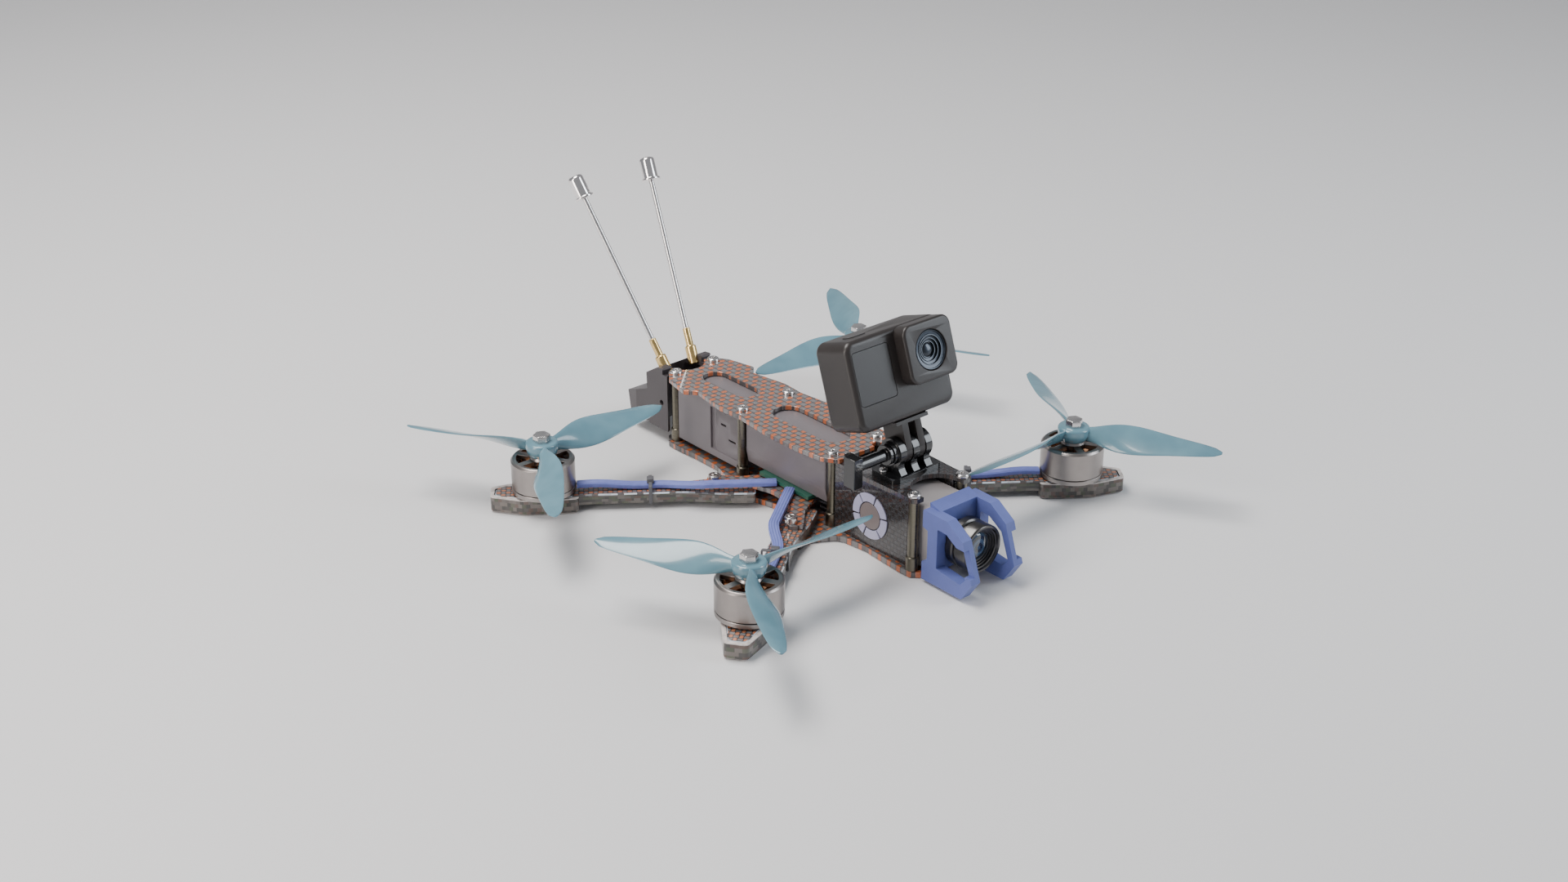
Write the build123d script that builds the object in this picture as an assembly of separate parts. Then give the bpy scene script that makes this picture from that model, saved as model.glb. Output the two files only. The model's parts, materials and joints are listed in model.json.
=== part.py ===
from build123d import *
import math
import os

# Three-blade quadcopter with a carbon frame, in millimetres.
# +Z is up, the nose points along -Y, and the pilot's right-hand side is -X.
# The origin is midway between the four motor axes, on the underside of the bottom plate.

# ---- driving dimensions: layout ----
motor_x = 92.8
motor_y = 69.2
arm_angle = math.degrees(math.atan2(motor_y, motor_x))
motor_reach = math.hypot(motor_x, motor_y)
fit_gap = 0.2
running_gap = 0.05

# ---- plates and standoffs ----
bottom_thickness = 2.5
arm_thickness = 4.8
clamp_thickness = 2.0
top_thickness = 2.0
standoff_length = 31.5
standoff_radius = 2.25
collar_radius = 2.8
collar_height = 6.2
screw_radius = 1.5
screw_clearance = 0.15
button_radius = 2.8
button_height = 1.65
button_socket = 1.0
small_screw_radius = 1.0
small_button_radius = 1.9
small_button_height = 1.2
socket_head_height = 3.0
sink_depth = 1.6
tap_depth = 6.0
arm_bottom = bottom_thickness
arm_top = arm_bottom + arm_thickness
clamp_top = arm_top + clamp_thickness
standoff_top = bottom_thickness + standoff_length
deck_top = standoff_top + top_thickness
standoff_places = [(10.85, 79.7), (13.27, 29.8), (12.65, -28.5), (13.7, -78.6)]
root_screw_place = (33.0, 25.4)

# ---- motors ----
bell_radius = 13.85
bell_wall = 1.4
bell_height = 12.7
bell_top_thickness = 2.0
window_count = 6
magnet_count = 14
magnet_thickness = 1.2
magnet_gap = 0.3
tooth_count = 12
tooth_width = 1.8
coil_width = 3.0
coil_rise = 0.8
foot_radius = 10.0
foot_height = 1.2
base_height = 2.0
bell_gap = 0.4
bearing_tube_radius = 4.4
shaft_radius = 2.5
motor_screw_ring = 8.0
boss_height = 1.4
bell_bottom = arm_top + foot_height + base_height + bell_gap
bell_top = bell_bottom + bell_height
hub_bottom = bell_top + boss_height

# ---- propellers ----
prop_radius = 64.8
prop_pitch = 114.0
hub_radius = 7.0
hub_height = 6.3
nut_across_flats = 6.6
nut_height = 3.2
blade_angles = (60, 180, 300)
# share of the radius, chord and thickness of each blade section
blade_sections = [
    (0.085, 6.2, 2.6),
    (0.16, 8.0, 2.2),
    (0.25, 11.6, 1.9),
    (0.37, 14.4, 1.7),
    (0.50, 14.2, 1.5),
    (0.65, 12.0, 1.3),
    (0.80, 9.4, 1.1),
    (0.92, 6.8, 0.95),
    (1.00, 3.6, 0.8),
]

# ---- arm ends and guards ----
arm_half_width = 5.2
arm_root_half_width = 8.6
arm_root_start = 24.0
pad_half_width = 7.2
pad_tip = 22.2
guard_wall = 2.2
guard_floor = 2.5
guard_start = -15.0

# ---- motor leads ----
lead_width = 4.6
lead_thickness = 2.6
lead_side_step = 5.6
lead_tie_reach = 69.7
tie_width = 1.6
tie_thickness = 0.7

# ---- electronics ----
stack_cover_half_width = 14.0
stack_cover_bottom = clamp_top + 2.4
cover_band_top = stack_cover_bottom + 7.0
cover_band_depth = 1.8
cover_wall = 1.5
cover_top_gap = 0.3
board_thickness = 1.6
esc_bottom = clamp_top + 0.6
esc_half = (15.2, 16.0)
controller_half = (10.0, 16.0)
board_spacing = 7.0
stack_post_place = (7.4, 13.4)
stack_post_radius = 1.5
sink_half_width = 9.6
sink_y = (-25.2, -17.4)
fin_depth = 3.0
fin_pitch = 2.5
fin_gap = 1.3
transmitter_half_width = 12.5
transmitter_y = (32.6, 76.9)
transmitter_bottom = 5.2
panel_depth = 0.8

# ---- nose: camera and guard ----
nose_plate_outer = 14.0
nose_plate_thickness = 2.5
nose_box_half_width = standoff_places[3][0] - collar_radius - fit_gap
nose_box_y = (-84.8, -50.0)
nose_box_z = (bottom_thickness + 0.5, standoff_top - 2.5)
lens_z = 17.4
lens_ring_radius = 10.6
lens_barrel_radius = 9.4
lens_neck_radius = 8.2
lens_front = -104.8
glass_radius = 6.2
glass_bulge = 1.4
glass_recess = 3.6
guard_half_width = 14.8
guard_side = 5.0
strut_width = 2.4
ring_light_centre = (-53.7, 17.1)
ring_light_outer = 10.25
ring_light_inner = 6.4
ring_light_thickness = 0.6
ring_light_segments = 6

# ---- action camera and its mount ----
pivot_y = -59.5
pivot_rise = 10.8
pivot_z = deck_top + pivot_rise
mount_base_thickness = 2.4
mount_base_top = deck_top + mount_base_thickness
mount_screw_place = (10.9, pivot_y + 2.0)
mount_base_half_width = 13.6
mount_base_y = (-67.4, -51.6)
leg_root_height = 2.4
boss_thickness = 2.0
pivot_radius = 6.2
prong_neck = 4.6
prong_foot = 7.4
pivot_pitch = 7.2
prong_thickness = 3.4
thumb_screw_radius = 2.5
knob_radius = 2.6
knob_length = 18.0
knob_flange_radius = 4.4
knob_flange_thickness = 1.6
camera_tilt = 19.0
camera_width = 52.8
camera_height = 37.8
camera_depth = 20.0
camera_side = -1.1
camera_rise = 31.6
camera_back = 2.4
case_corner = 4.6
case_edge = 2.4
lens_house_size = (26.4, 24.8)
lens_house_depth = 6.1
lens_house_centre = (11.8, 6.3)
lens_house_corner = 4.2
lens_bore_radius = 8.5
lens_bore_depth = 1.6
screen_centre = (-15.1, 3.0)
screen_size = (19.6, 22.2)
rear_screen_size = (44.6, 28.6)
screen_gap = 0.2
screen_recess = 0.8
lens_house_seat = 0.6
button_gap = 0.15

# ---- antennas ----
antenna_foot = (8.3, 91.9, standoff_top + 1.3)
antenna_hole_y = 87.0
antenna_hole_radius = 9.0
connector_radius = 2.65
antenna_back_lean = 30.3
antenna_side_lean = 8.6
connector_length = 13.0
connector_thick_length = 4.6
antenna_rod_radius = 1.25
antenna_rod_length = 71.0
antenna_cap_height = 11.0
antenna_cap_radius = 3.6
cap_flange_radius = 4.45
cap_flange_height = 1.1
tail_half_width = 14.0
tail_wall = 2.0
tail_bottom = 5.9
tail_round = 0.5
side_hole_place = (87.0, 19.5)


# ---- shared helpers ----
def outline(points, radii):
    """A closed flat face through the points, with a corner radius for each."""
    return make_face(FilletPolyline(*points, radius=radii, close=True))


def two_sided(half):
    """Mirror a half outline of (x, y, corner radius) in the Y axis."""
    mirrored = [(-x, y, r) for x, y, r in reversed(half)]
    full = half + mirrored
    return outline([(x, y) for x, y, r in full], [r for x, y, r in full])


def plate(face, bottom, thickness):
    """A flat plate with its underside at the height given."""
    return Pos(0, 0, bottom) * extrude(face, thickness)


def rod(radius, bottom, top):
    """A cylinder on the Z axis between two heights."""
    return Pos(0, 0, (bottom + top) / 2) * Cylinder(radius, top - bottom)


def block(x, y, z):
    """A box from three (low, high) pairs."""
    size = [high - low for low, high in (x, y, z)]
    middle = [(high + low) / 2 for low, high in (x, y, z)]
    return Pos(*middle) * Box(*size)


def side_block(profile, radii, x_low, x_high):
    """A profile of (y, z) points carried along X."""
    face = outline([(y, z) for y, z in profile], radii)
    return Plane(origin=(x_low, 0, 0), x_dir=(0, 1, 0), z_dir=(1, 0, 0)) * extrude(face, x_high - x_low)


def to_corner(shape, x_sign, y_sign):
    """Mirror a shape made for the rear-left corner into another corner."""
    if x_sign < 0:
        shape = mirror(shape, about=Plane.YZ)
    if y_sign < 0:
        shape = mirror(shape, about=Plane.XZ)
    return shape


corners = {
    "front_right": (-1, -1),
    "front_left": (1, -1),
    "rear_right": (-1, 1),
    "rear_left": (1, 1),
}
on_arm = Rot(0, 0, arm_angle)
on_motor = Pos(motor_x, motor_y, 0)


def in_all_corners(shapes):
    """The same pieces in each of the four corners."""
    return [to_corner(shape, *signs) for signs in corners.values() for shape in shapes]


def on_both_sides(shapes):
    """Pieces made for the left, +X, and their mirror copies on the right."""
    return shapes + [mirror(shape, about=Plane.YZ) for shape in shapes]


# ---- fasteners ----
def button_screw(seat, length, radius=screw_radius, head_radius=button_radius, height=button_height):
    """A button-head screw with its seat at a height, and its thread pointing down."""
    head = rod(head_radius, seat, seat + height)
    head = fillet(head.edges().group_by(Axis.Z)[-1], height * 0.6)
    socket = plate(RegularPolygon(button_socket * radius / screw_radius, 6), seat + height * 0.4, height)
    return head - socket + rod(radius, seat - length, seat)


def socket_screw(seat, length):
    """A socket-head screw with its seat at a height, and its thread pointing down."""
    head = rod(button_radius, seat, seat + socket_head_height)
    head = chamfer(head.edges().group_by(Axis.Z)[-1], 0.35)
    socket = Pos(0, 0, seat + socket_head_height) * extrude(RegularPolygon(1.45, 6), -1.4)
    return head - socket + rod(screw_radius, seat - length, seat)


def countersunk_screw(face_z, length):
    """A countersunk screw driven upwards, with its flat head level with a face."""
    head = Pos(0, 0, face_z + sink_depth / 2) * Cone(button_radius, screw_radius, sink_depth)
    socket = plate(RegularPolygon(button_socket, 6), face_z, sink_depth / 2)
    return head - socket + rod(screw_radius, face_z + sink_depth, face_z + length)


# ---- frame plates ----
bottom_half = [
    (13.0, -83.5, 3.0), (16.6, -80.0, 2.5), (16.6, -72.0, 12.0), (15.2, -52.0, 14.0),
    (17.0, -38.0, 8.0), (29.0, -31.0, 6.0), (34.5, -33.5, 2.0), (39.0, -29.5, 2.5),
    (22.0, -13.5, 7.0), (18.4, 0.0, 16.0), (22.0, 13.5, 7.0), (39.0, 29.5, 2.5),
    (34.5, 33.5, 2.0), (28.0, 29.5, 6.0), (18.0, 35.5, 6.0), (14.5, 47.0, 10.0),
    (14.5, 62.0, 14.0), (15.4, 76.0, 4.0), (15.0, 81.0, 2.0), (11.2, 85.8, 2.0),
]
clamp_half = [
    (8.0, -14.0, 6.0), (21.0, -21.0, 8.0), (31.5, -31.5, 2.0), (36.8, -27.0, 2.0),
    (24.4, -15.5, 5.0), (19.0, 0.0, 18.0), (24.4, 15.5, 5.0), (36.8, 27.0, 2.0),
    (31.5, 31.5, 2.0), (21.0, 21.0, 8.0), (8.0, 14.0, 6.0),
]
top_half = [
    (14.6, -34.5, 1.5), (18.9, -28.0, 3.0), (20.5, -14.0, 14.0),
    (20.5, 5.0, 14.0), (18.2, 26.7, 9.0), (19.2, 38.5, 9.0), (16.0, 57.5, 3.0),
    (20.6, 62.0, 2.0), (17.5, 76.4, 4.0), (12.3, 83.6, 2.0),
]
deck_half = [(16.6, -81.8, 2.6), (16.6, -70.0, 20.0), (17.6, -47.0, 2.5)]


def standoff_holes(radius, bottom, top, places):
    """Clearance holes at standoff places, for cutting."""
    return [Pos(s * x, y, 0) * rod(radius, bottom, top) for x, y in places for s in (1, -1)]


def make_bottom_plate():
    body = plate(two_sided(bottom_half), 0, bottom_thickness)
    hole_radius = screw_radius + screw_clearance
    body -= standoff_holes(hole_radius, -1, bottom_thickness + 1, standoff_places)
    sink_radius = button_radius + screw_clearance
    for x, y in standoff_places:
        for s in (1, -1):
            sink = Pos(s * x, y, sink_depth / 2) * Cone(sink_radius, hole_radius, sink_depth)
            body -= sink
    x, y = root_screw_place
    hole = Pos(x, y, 0) * rod(hole_radius, -1, bottom_thickness + 1)
    body -= in_all_corners([hole])
    for y in (-58.0, 56.0):
        body -= plate(Pos(0, y) * SlotOverall(22, 10, rotation=90), -1, bottom_thickness + 2)
    return body


def make_clamp_plate():
    body = plate(two_sided(clamp_half), arm_top, clamp_thickness)
    x, y = root_screw_place
    hole = Pos(x, y, 0) * rod(screw_radius + screw_clearance, arm_top - 1, clamp_top + 1)
    body -= in_all_corners([hole])
    return body


def make_top_plate():
    face = two_sided(top_half)
    face -= Pos(0, 54) * SlotOverall(32.5, 11.6, rotation=90)
    face -= Pos(0, -0.5) * SlotOverall(43.6, 14.0, rotation=90)
    face -= Pos(0, antenna_hole_y) * Circle(antenna_hole_radius)
    for s in (1, -1):
        face -= Pos(s * 8.0, -34.0) * Circle(2.3)
    body = plate(face, standoff_top, top_thickness)
    places = standoff_places[:3]
    body -= standoff_holes(screw_radius + screw_clearance, standoff_top - 1, deck_top + 1, places)
    return body



def make_nose_deck():
    face = two_sided(deck_half) - Pos(0, -79.3) * Circle(11.8)
    body = plate(face, standoff_top, top_thickness)
    low, high = standoff_top - 1, deck_top + 1
    body -= standoff_holes(screw_radius + screw_clearance, low, high, [standoff_places[3]])
    return body - standoff_holes(small_screw_radius + screw_clearance, low, high, [mount_screw_place])


def make_nose_plate():
    """The left nose side plate, standing between the bottom plate and the deck."""
    y_low = standoff_places[3][1] + collar_radius + fit_gap
    y_high = standoff_places[2][1] - collar_radius - fit_gap
    x = (nose_plate_outer - nose_plate_thickness, nose_plate_outer)
    return block(x, (y_low, y_high), (bottom_thickness, standoff_top))


def make_standoffs():
    """Eight round standoffs, each in two turned lengths, and the four stack posts."""
    pieces = []
    for x, y in standoff_places:
        for s in (1, -1):
            place = Pos(s * x, y, 0)
            collar = rod(collar_radius, bottom_thickness, bottom_thickness + collar_height)
            collar = chamfer(collar.edges().group_by(Axis.Z)[-1], 0.4)
            column = rod(standoff_radius, bottom_thickness + collar_height, standoff_top)
            bore = rod(screw_radius, 0, bottom_thickness + tap_depth)
            bore_top = rod(screw_radius, standoff_top - tap_depth, standoff_top + 1)
            pieces.append(place * (collar - bore))
            pieces.append(place * (column - bore - bore_top))
    return pieces + make_stack_posts()


def make_frame_screws():
    pieces = []
    for x, y in standoff_places:
        for s in (1, -1):
            pieces.append(Pos(s * x, y, 0) * button_screw(deck_top, top_thickness + tap_depth - 0.5))
            pieces.append(Pos(s * x, y, 0) * countersunk_screw(0, bottom_thickness + tap_depth - 0.5))
    x, y = mount_screw_place
    small = button_screw(
        mount_base_top, mount_base_top - standoff_top,
        small_screw_radius, small_button_radius, small_button_height)
    pieces += on_both_sides([Pos(x, y, 0) * small])
    x, y = root_screw_place
    pieces += in_all_corners([Pos(x, y, 0) * socket_screw(clamp_top, clamp_top - 0.3)])
    return pieces


# ---- arms ----
def make_arm():
    """The rear-left arm, lying along X before it is turned to its angle."""
    tip = motor_reach + pad_tip
    half = [
        (arm_root_start, arm_root_half_width, 1.5),
        (arm_root_start + 14.0, arm_root_half_width - 0.6, 10.0),
        (arm_root_start + 30.0, arm_half_width, 20.0),
        (motor_reach - 18.0, arm_half_width, 14.0),
        (motor_reach - 7.0, pad_half_width, 8.0),
        (motor_reach + 9.0, pad_half_width, 6.0),
        (tip - 1.0, 3.6, 2.5),
    ]
    back = [(a, -b, r) for a, b, r in reversed(half)]
    full = half + back
    face = outline([(a, b) for a, b, r in full], [r for a, b, r in full])
    body = plate(face, arm_bottom, arm_thickness)
    body = chamfer(body.faces().sort_by(Axis.Z)[-1].outer_wire().edges(), 0.5)
    centre = Pos(motor_reach, 0, 0)
    body -= centre * rod(shaft_radius + 1.0, arm_bottom - 1, arm_top + 1)
    body -= motor_screw_holes(screw_radius + screw_clearance, arm_bottom - 1, arm_top + 1)
    body = on_arm * body
    x, y = root_screw_place
    return body - Pos(x, y, 0) * rod(screw_radius + screw_clearance, arm_bottom - 1, arm_top + 1)


def motor_screw_holes(radius, bottom, top):
    """Four upright cylinders on the motor's screw circle, for an arm along X."""
    ring = PolarLocations(motor_screw_ring, 4, start_angle=45)
    return [Pos(motor_reach, 0, 0) * place * rod(radius, bottom, top) for place in ring]


def guard_face(grow, start):
    """The outline round the motor pad, wider by a margin, from a place along the arm."""
    a = motor_reach
    half = [
        (a + start, arm_half_width + 1.2 + grow, 2.0),
        (a - 6.0, pad_half_width + grow, 6.0),
        (a + 9.0, pad_half_width + grow, 6.0),
        (a + pad_tip - 0.8 + grow * 0.8, 3.4 + grow * 0.6, 2.0),
    ]
    back = [(x, -y, r) for x, y, r in reversed(half)]
    full = half + back
    return outline([(x, y) for x, y, r in full], [r for x, y, r in full])


def make_guard():
    """The rear-left arm guard: a cup under and round the end of the arm."""
    outer = plate(guard_face(guard_wall, guard_start), 0, arm_top)
    outer = chamfer(outer.faces().sort_by(Axis.Z)[0].outer_wire().edges(), 0.8)
    pocket = plate(guard_face(fit_gap, guard_start - 5.0), guard_floor, arm_thickness + 1)
    body = outer - pocket
    body -= motor_screw_holes(screw_radius + screw_clearance, -1, guard_floor + 1)
    body -= motor_screw_holes(button_radius + screw_clearance, -1, button_height + 0.2)
    body -= Pos(motor_reach, 0, 0) * rod(shaft_radius + 1.0, -1, guard_floor + 1)
    return on_arm * body


def make_motor_screws():
    """Four screws up through one guard and arm into the motor's foot."""
    screw = Rot(180, 0, 0) * button_screw(0, arm_top + foot_height - button_height - 0.3)
    ring = PolarLocations(motor_screw_ring, 4, start_angle=45)
    seat = Pos(motor_reach, 0, button_height + 0.2)
    return [on_arm * seat * place * screw for place in ring]


# ---- motors ----
def make_motor_base():
    """The fixed base of the rear-left motor, with its bearing tube."""
    base_bottom = arm_top + foot_height
    base_top = base_bottom + base_height
    body = rod(foot_radius, arm_top, base_bottom) + rod(bell_radius, base_bottom, base_top)
    body = fillet(body.edges().filter_by(GeomType.CIRCLE).group_by(Axis.Z)[-1], 0.4)
    body += rod(bearing_tube_radius, base_top, bell_top - bell_top_thickness - 1.2)
    for place in PolarLocations(10.6, 6, start_angle=30):
        body -= place * rod(1.7, base_bottom - 1, base_top + 1)
    bolt_bottom = arm_top - 1
    for place in PolarLocations(motor_screw_ring, 4, start_angle=45 + arm_angle):
        body -= place * rod(screw_radius, bolt_bottom, base_bottom)
    body -= rod(shaft_radius + running_gap, arm_top - 1, bell_top)
    return on_motor * body


def make_stator():
    """Laminated star of the rear-left motor, with its coils."""
    outer = bell_radius - bell_wall - magnet_thickness - magnet_gap
    bottom = bell_bottom + 1.6
    top = bell_top - bell_top_thickness - 1.4
    body = rod(bearing_tube_radius + 2.4, bottom, top)
    tooth_y = (-tooth_width / 2, tooth_width / 2)
    tooth = block((bearing_tube_radius + 1.0, outer - 0.6), tooth_y, (bottom, top))
    coil_y = (-coil_width / 2, coil_width / 2)
    coil = block((bearing_tube_radius + 2.9, outer - 1.4), coil_y, (bottom - coil_rise, top + coil_rise))
    rim = rod(outer, bottom, top) - rod(outer - 1.0, bottom - 1, top + 1)
    slot = block((outer - 1.6, outer + 1), (-0.5, 0.5), (bottom - 1, top + 1))
    for place in PolarLocations(0, tooth_count):
        body += place * tooth
        body += place * coil
    body += rim
    for place in PolarLocations(0, tooth_count, start_angle=180 / tooth_count):
        body -= place * slot
    return on_motor * (body - rod(bearing_tube_radius, bottom - 1, top + 1))


def make_bell():
    """Rotor of the rear-left motor: flux ring and top, magnets and shaft."""
    inner = bell_radius - bell_wall
    bell = rod(bell_radius, bell_bottom, bell_top)
    bell = chamfer(bell.edges().group_by(Axis.Z)[-1], 0.9)
    bell -= rod(inner, bell_bottom - 1, bell_top - bell_top_thickness)
    window = Circle(inner - 1.0) - Circle(5.6)
    spoke = Rectangle(4 * bell_radius, 3.2)
    for place in PolarLocations(0, window_count // 2):
        window -= place * spoke
    bell -= plate(window, bell_top - bell_top_thickness - 1, bell_top_thickness + 2)
    bell += Pos(0, 0, bell_top + boss_height / 2) * Cone(5.4, 4.6, boss_height)
    bell -= rod(shaft_radius, bell_bottom, hub_bottom + 1)
    shaft = rod(shaft_radius, arm_top + 1.0, hub_bottom + hub_height + nut_height - 0.4)
    magnet_arc = 360 / magnet_count - 4
    ring = Circle(inner) - Circle(inner - magnet_thickness)
    wedge = make_face(Polyline(
        (0, 0),
        (20, -20 * math.tan(math.radians(magnet_arc / 2))),
        (20, 20 * math.tan(math.radians(magnet_arc / 2))),
        close=True,
    ))
    magnet = plate(ring & wedge, bell_bottom + 1.0, bell_height - bell_top_thickness - 3.0)
    magnets = [place * magnet for place in PolarLocations(0, magnet_count)]
    return [on_motor * piece for piece in [bell, shaft] + magnets]


def blade_section(share, chord, thickness):
    """A cambered section across one blade, for a rotor that turns clockwise from above."""
    radius = share * prop_radius
    angle = math.atan(prop_pitch / (2 * math.pi * radius))
    leading = (0, -math.cos(angle), math.sin(angle))
    middle = hub_bottom + hub_height / 2
    section = Plane(origin=(radius, 0, middle), x_dir=leading, z_dir=(1, 0, 0))
    edge = chord / 2
    under = ThreePointArc((-edge, 0), (0, thickness * 0.25), (edge, 0))
    over = ThreePointArc((edge, 0), (0, -thickness * 0.75), (-edge, 0))
    return section * make_face(under + over)


def make_propeller():
    """The rear-left propeller: three blades on one hub."""
    blade = loft([blade_section(*row) for row in blade_sections])
    body = rod(hub_radius, hub_bottom, hub_bottom + hub_height)
    body = chamfer(body.edges().group_by(Axis.Z)[-1], 0.6)
    for angle in blade_angles:
        body += Rot(0, 0, angle) * blade
    return on_motor * (body - rod(shaft_radius, hub_bottom - 1, hub_bottom + hub_height + 1))


def make_nut():
    seat = hub_bottom + hub_height
    hexagon = RegularPolygon(nut_across_flats / 2, 6, major_radius=False)
    body = plate(hexagon, seat, nut_height)
    body = chamfer(body.faces().sort_by(Axis.Z)[-1].edges(), 0.3)
    return on_motor * (body - rod(shaft_radius, seat - 1, seat + nut_height + 1))


# ---- motor leads ----
def make_lead():
    """The rear-left motor's flat lead, along its arm and in to the controller board."""
    a_end = motor_reach - bell_radius - 2 * fit_gap
    step = lead_side_step
    route = FilletPolyline((a_end, 0), (66.0, 0), (46.0, -step), (8.0, -step), radius=[34.0, 34.0])
    band = extrude(trace(route, lead_width), 40)
    rise = clamp_top + 0.15
    spine = [
        (a_end, bell_bottom - fit_gap * 2 - lead_thickness), (94.0, arm_top + 2.0),
        (78.0, arm_top), (60.0, arm_top), (50.0, rise), (8.0, rise),
    ]
    top = [(a, z + lead_thickness) for a, z in reversed(spine)]
    bends = [0, 12, 12, 12, 12, 0]
    face = outline(spine + top, bends + bends)
    side = Plane(origin=(0, 20, 0), x_dir=(1, 0, 0), z_dir=(0, -1, 0)) * extrude(face, 40)
    reach = (esc_half[0], motor_x + 10)
    return (on_arm * (band & side)) & block(reach, (-10, motor_y + 10), (0, 40))


def make_tie():
    """The tie round the rear-left arm and its lead."""
    a = lead_tie_reach
    inner_y = arm_half_width + 0.1
    inner = block((a - 5, a + 5), (-inner_y, inner_y), (arm_bottom - 0.1, arm_top + lead_thickness + 0.1))
    y = (-inner_y - tie_thickness, inner_y + tie_thickness)
    z = (arm_bottom - 0.1 - tie_thickness, arm_top + lead_thickness + 0.1 + tie_thickness)
    outer = block((a - tie_width / 2, a + tie_width / 2), y, z)
    outer = fillet(outer.edges().filter_by(Axis.X), 1.0)
    outer += block((a - 1.5, a + 1.5), (-1.7, 1.7), (z[1] - tie_thickness, z[1] + 1.4))
    return on_arm * (outer - inner)


# ---- electronics ----
def make_transmitter():
    """The rear casing, open underneath, with a recessed panel on each side."""
    w = transmitter_half_width
    top = standoff_top - cover_top_gap
    body = block((-w, w), transmitter_y, (transmitter_bottom, top))
    body = fillet(body.edges().filter_by(Axis.Z), 0.8)
    y_low, y_high = transmitter_y
    inside = (transmitter_bottom - 1, top - cover_wall)
    body -= block((cover_wall - w, w - cover_wall), (y_low + cover_wall, y_high - cover_wall), inside)
    z = (transmitter_bottom + 3.3, top - 4.5)
    for s in (1, -1):
        body -= block(sorted((s * (w + 1), s * (w - panel_depth))), (34.4, 50.0), z)
        body -= block(sorted((s * (w + 1), s * (w - panel_depth * 1.5))), (50.0, 53.2), z)
        slot_x = sorted((s * (w + 1), s * (w - 2)))
        body -= block(slot_x, (43.4, 46.8), (z[1] - 7.3, z[1] - 6.4))
        body -= block(slot_x, (36.6, 41.6), (z[0] + 7.2, z[0] + 8.1))
    return body


def make_stack_cover():
    """The middle casing over the boards, open underneath, with sloped lower sides."""
    w = stack_cover_half_width
    top = standoff_top - cover_top_gap
    y_low = standoff_places[2][1] + collar_radius + fit_gap
    y_high = standoff_places[1][1] - collar_radius - fit_gap
    body = block((-w, w), (y_low, y_high), (stack_cover_bottom, top))
    body = fillet(body.edges().filter_by(Axis.Z), 0.8)
    inner = w - cover_wall - cover_band_depth
    x = (-inner, inner)
    body -= block(x, (y_low + cover_wall, y_high - cover_wall), (stack_cover_bottom - 1, top - cover_wall))
    low = stack_cover_bottom - 1
    for s in (1, -1):
        face = outline([
            (s * (w + 1), low), (s * (w - cover_band_depth), low),
            (s * w, cover_band_top), (s * (w + 1), cover_band_top),
        ], 0)
        body -= Plane.XZ * extrude(face, 30, both=True)
    return body


def make_board(bottom, half_x, half_y):
    """A circuit board with a hole for each stack post."""
    body = block((-half_x, half_x), (-half_y, half_y), (bottom, bottom + board_thickness))
    radius = stack_post_radius + screw_clearance
    x, y = stack_post_place
    hole = Pos(x, y, 0) * rod(radius, bottom - 1, bottom + board_thickness + 1)
    return body - in_all_corners([hole])


def make_flight_controller():
    bottom = esc_bottom + board_spacing
    body = make_board(bottom, *controller_half)
    top = bottom + board_thickness
    body += block((-3.5, 3.5), (-3.5, 3.5), (top, top + 1.2))
    body += block((-6.0, -3.0), (6.5, 9.5), (top, top + 1.0))
    body += block((-4.0, 4.0), (-15.6, -9.4), (top, top + 3.0))
    return body


def make_speed_controller():
    body = make_board(esc_bottom, *esc_half)
    top = esc_bottom + board_thickness
    for x in (-1, 1):
        for y in (-8.0, -3.0, 3.0, 8.0):
            body += block(sorted((x * 3.0, x * 8.0)), (y - 2.0, y + 2.0), (top, top + 1.0))
    return body


def make_stack_posts():
    """Four posts with spacers and nuts, which carry the two boards above the clamp plate."""
    board_tops = [esc_bottom + board_thickness, esc_bottom + board_spacing + board_thickness]
    x, y = stack_post_place
    spacer_radius = stack_post_radius + 1.0
    post = rod(stack_post_radius, clamp_top, board_tops[1] + 2.2)
    post += rod(spacer_radius, clamp_top, esc_bottom)
    post += rod(spacer_radius, board_tops[0], esc_bottom + board_spacing)
    post += plate(RegularPolygon(spacer_radius, 6), board_tops[1], 1.6)
    return in_all_corners([Pos(x, y, 0) * post])


def make_heat_sink():
    """A finned block between the bottom plate and the front of the casing."""
    w = sink_half_width
    front, back = sink_y
    body = block((-w, w), sink_y, (bottom_thickness, stack_cover_bottom - fit_gap))
    core = block((fin_depth - w, w - fin_depth), (front + fin_depth - 1.0, back + 1), (0, 20))
    for index in range(3):
        z = bottom_thickness + 1.4 + index * fin_pitch
        groove = block((-w - 1, w + 1), (front - 1, back + 1), (z, z + fin_gap))
        body -= groove - core
    return body


# ---- nose ----
def make_nose_box():
    """The casing of the flight camera, open at the back."""
    w = nose_box_half_width
    y_front, y_back = nose_box_y
    z_low, z_high = nose_box_z
    body = block((-w, w), nose_box_y, nose_box_z)
    body = fillet(body.edges().filter_by(Axis.Y), 1.0)
    inside_z = (z_low + cover_wall, z_high - cover_wall)
    body -= block((cover_wall - w, w - cover_wall), (y_front + 2.0, y_back + 1), inside_z)
    bore = Pos(0, y_front, lens_z) * Rot(90, 0, 0) * Cylinder(lens_neck_radius + running_gap, 6)
    return body - bore


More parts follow.
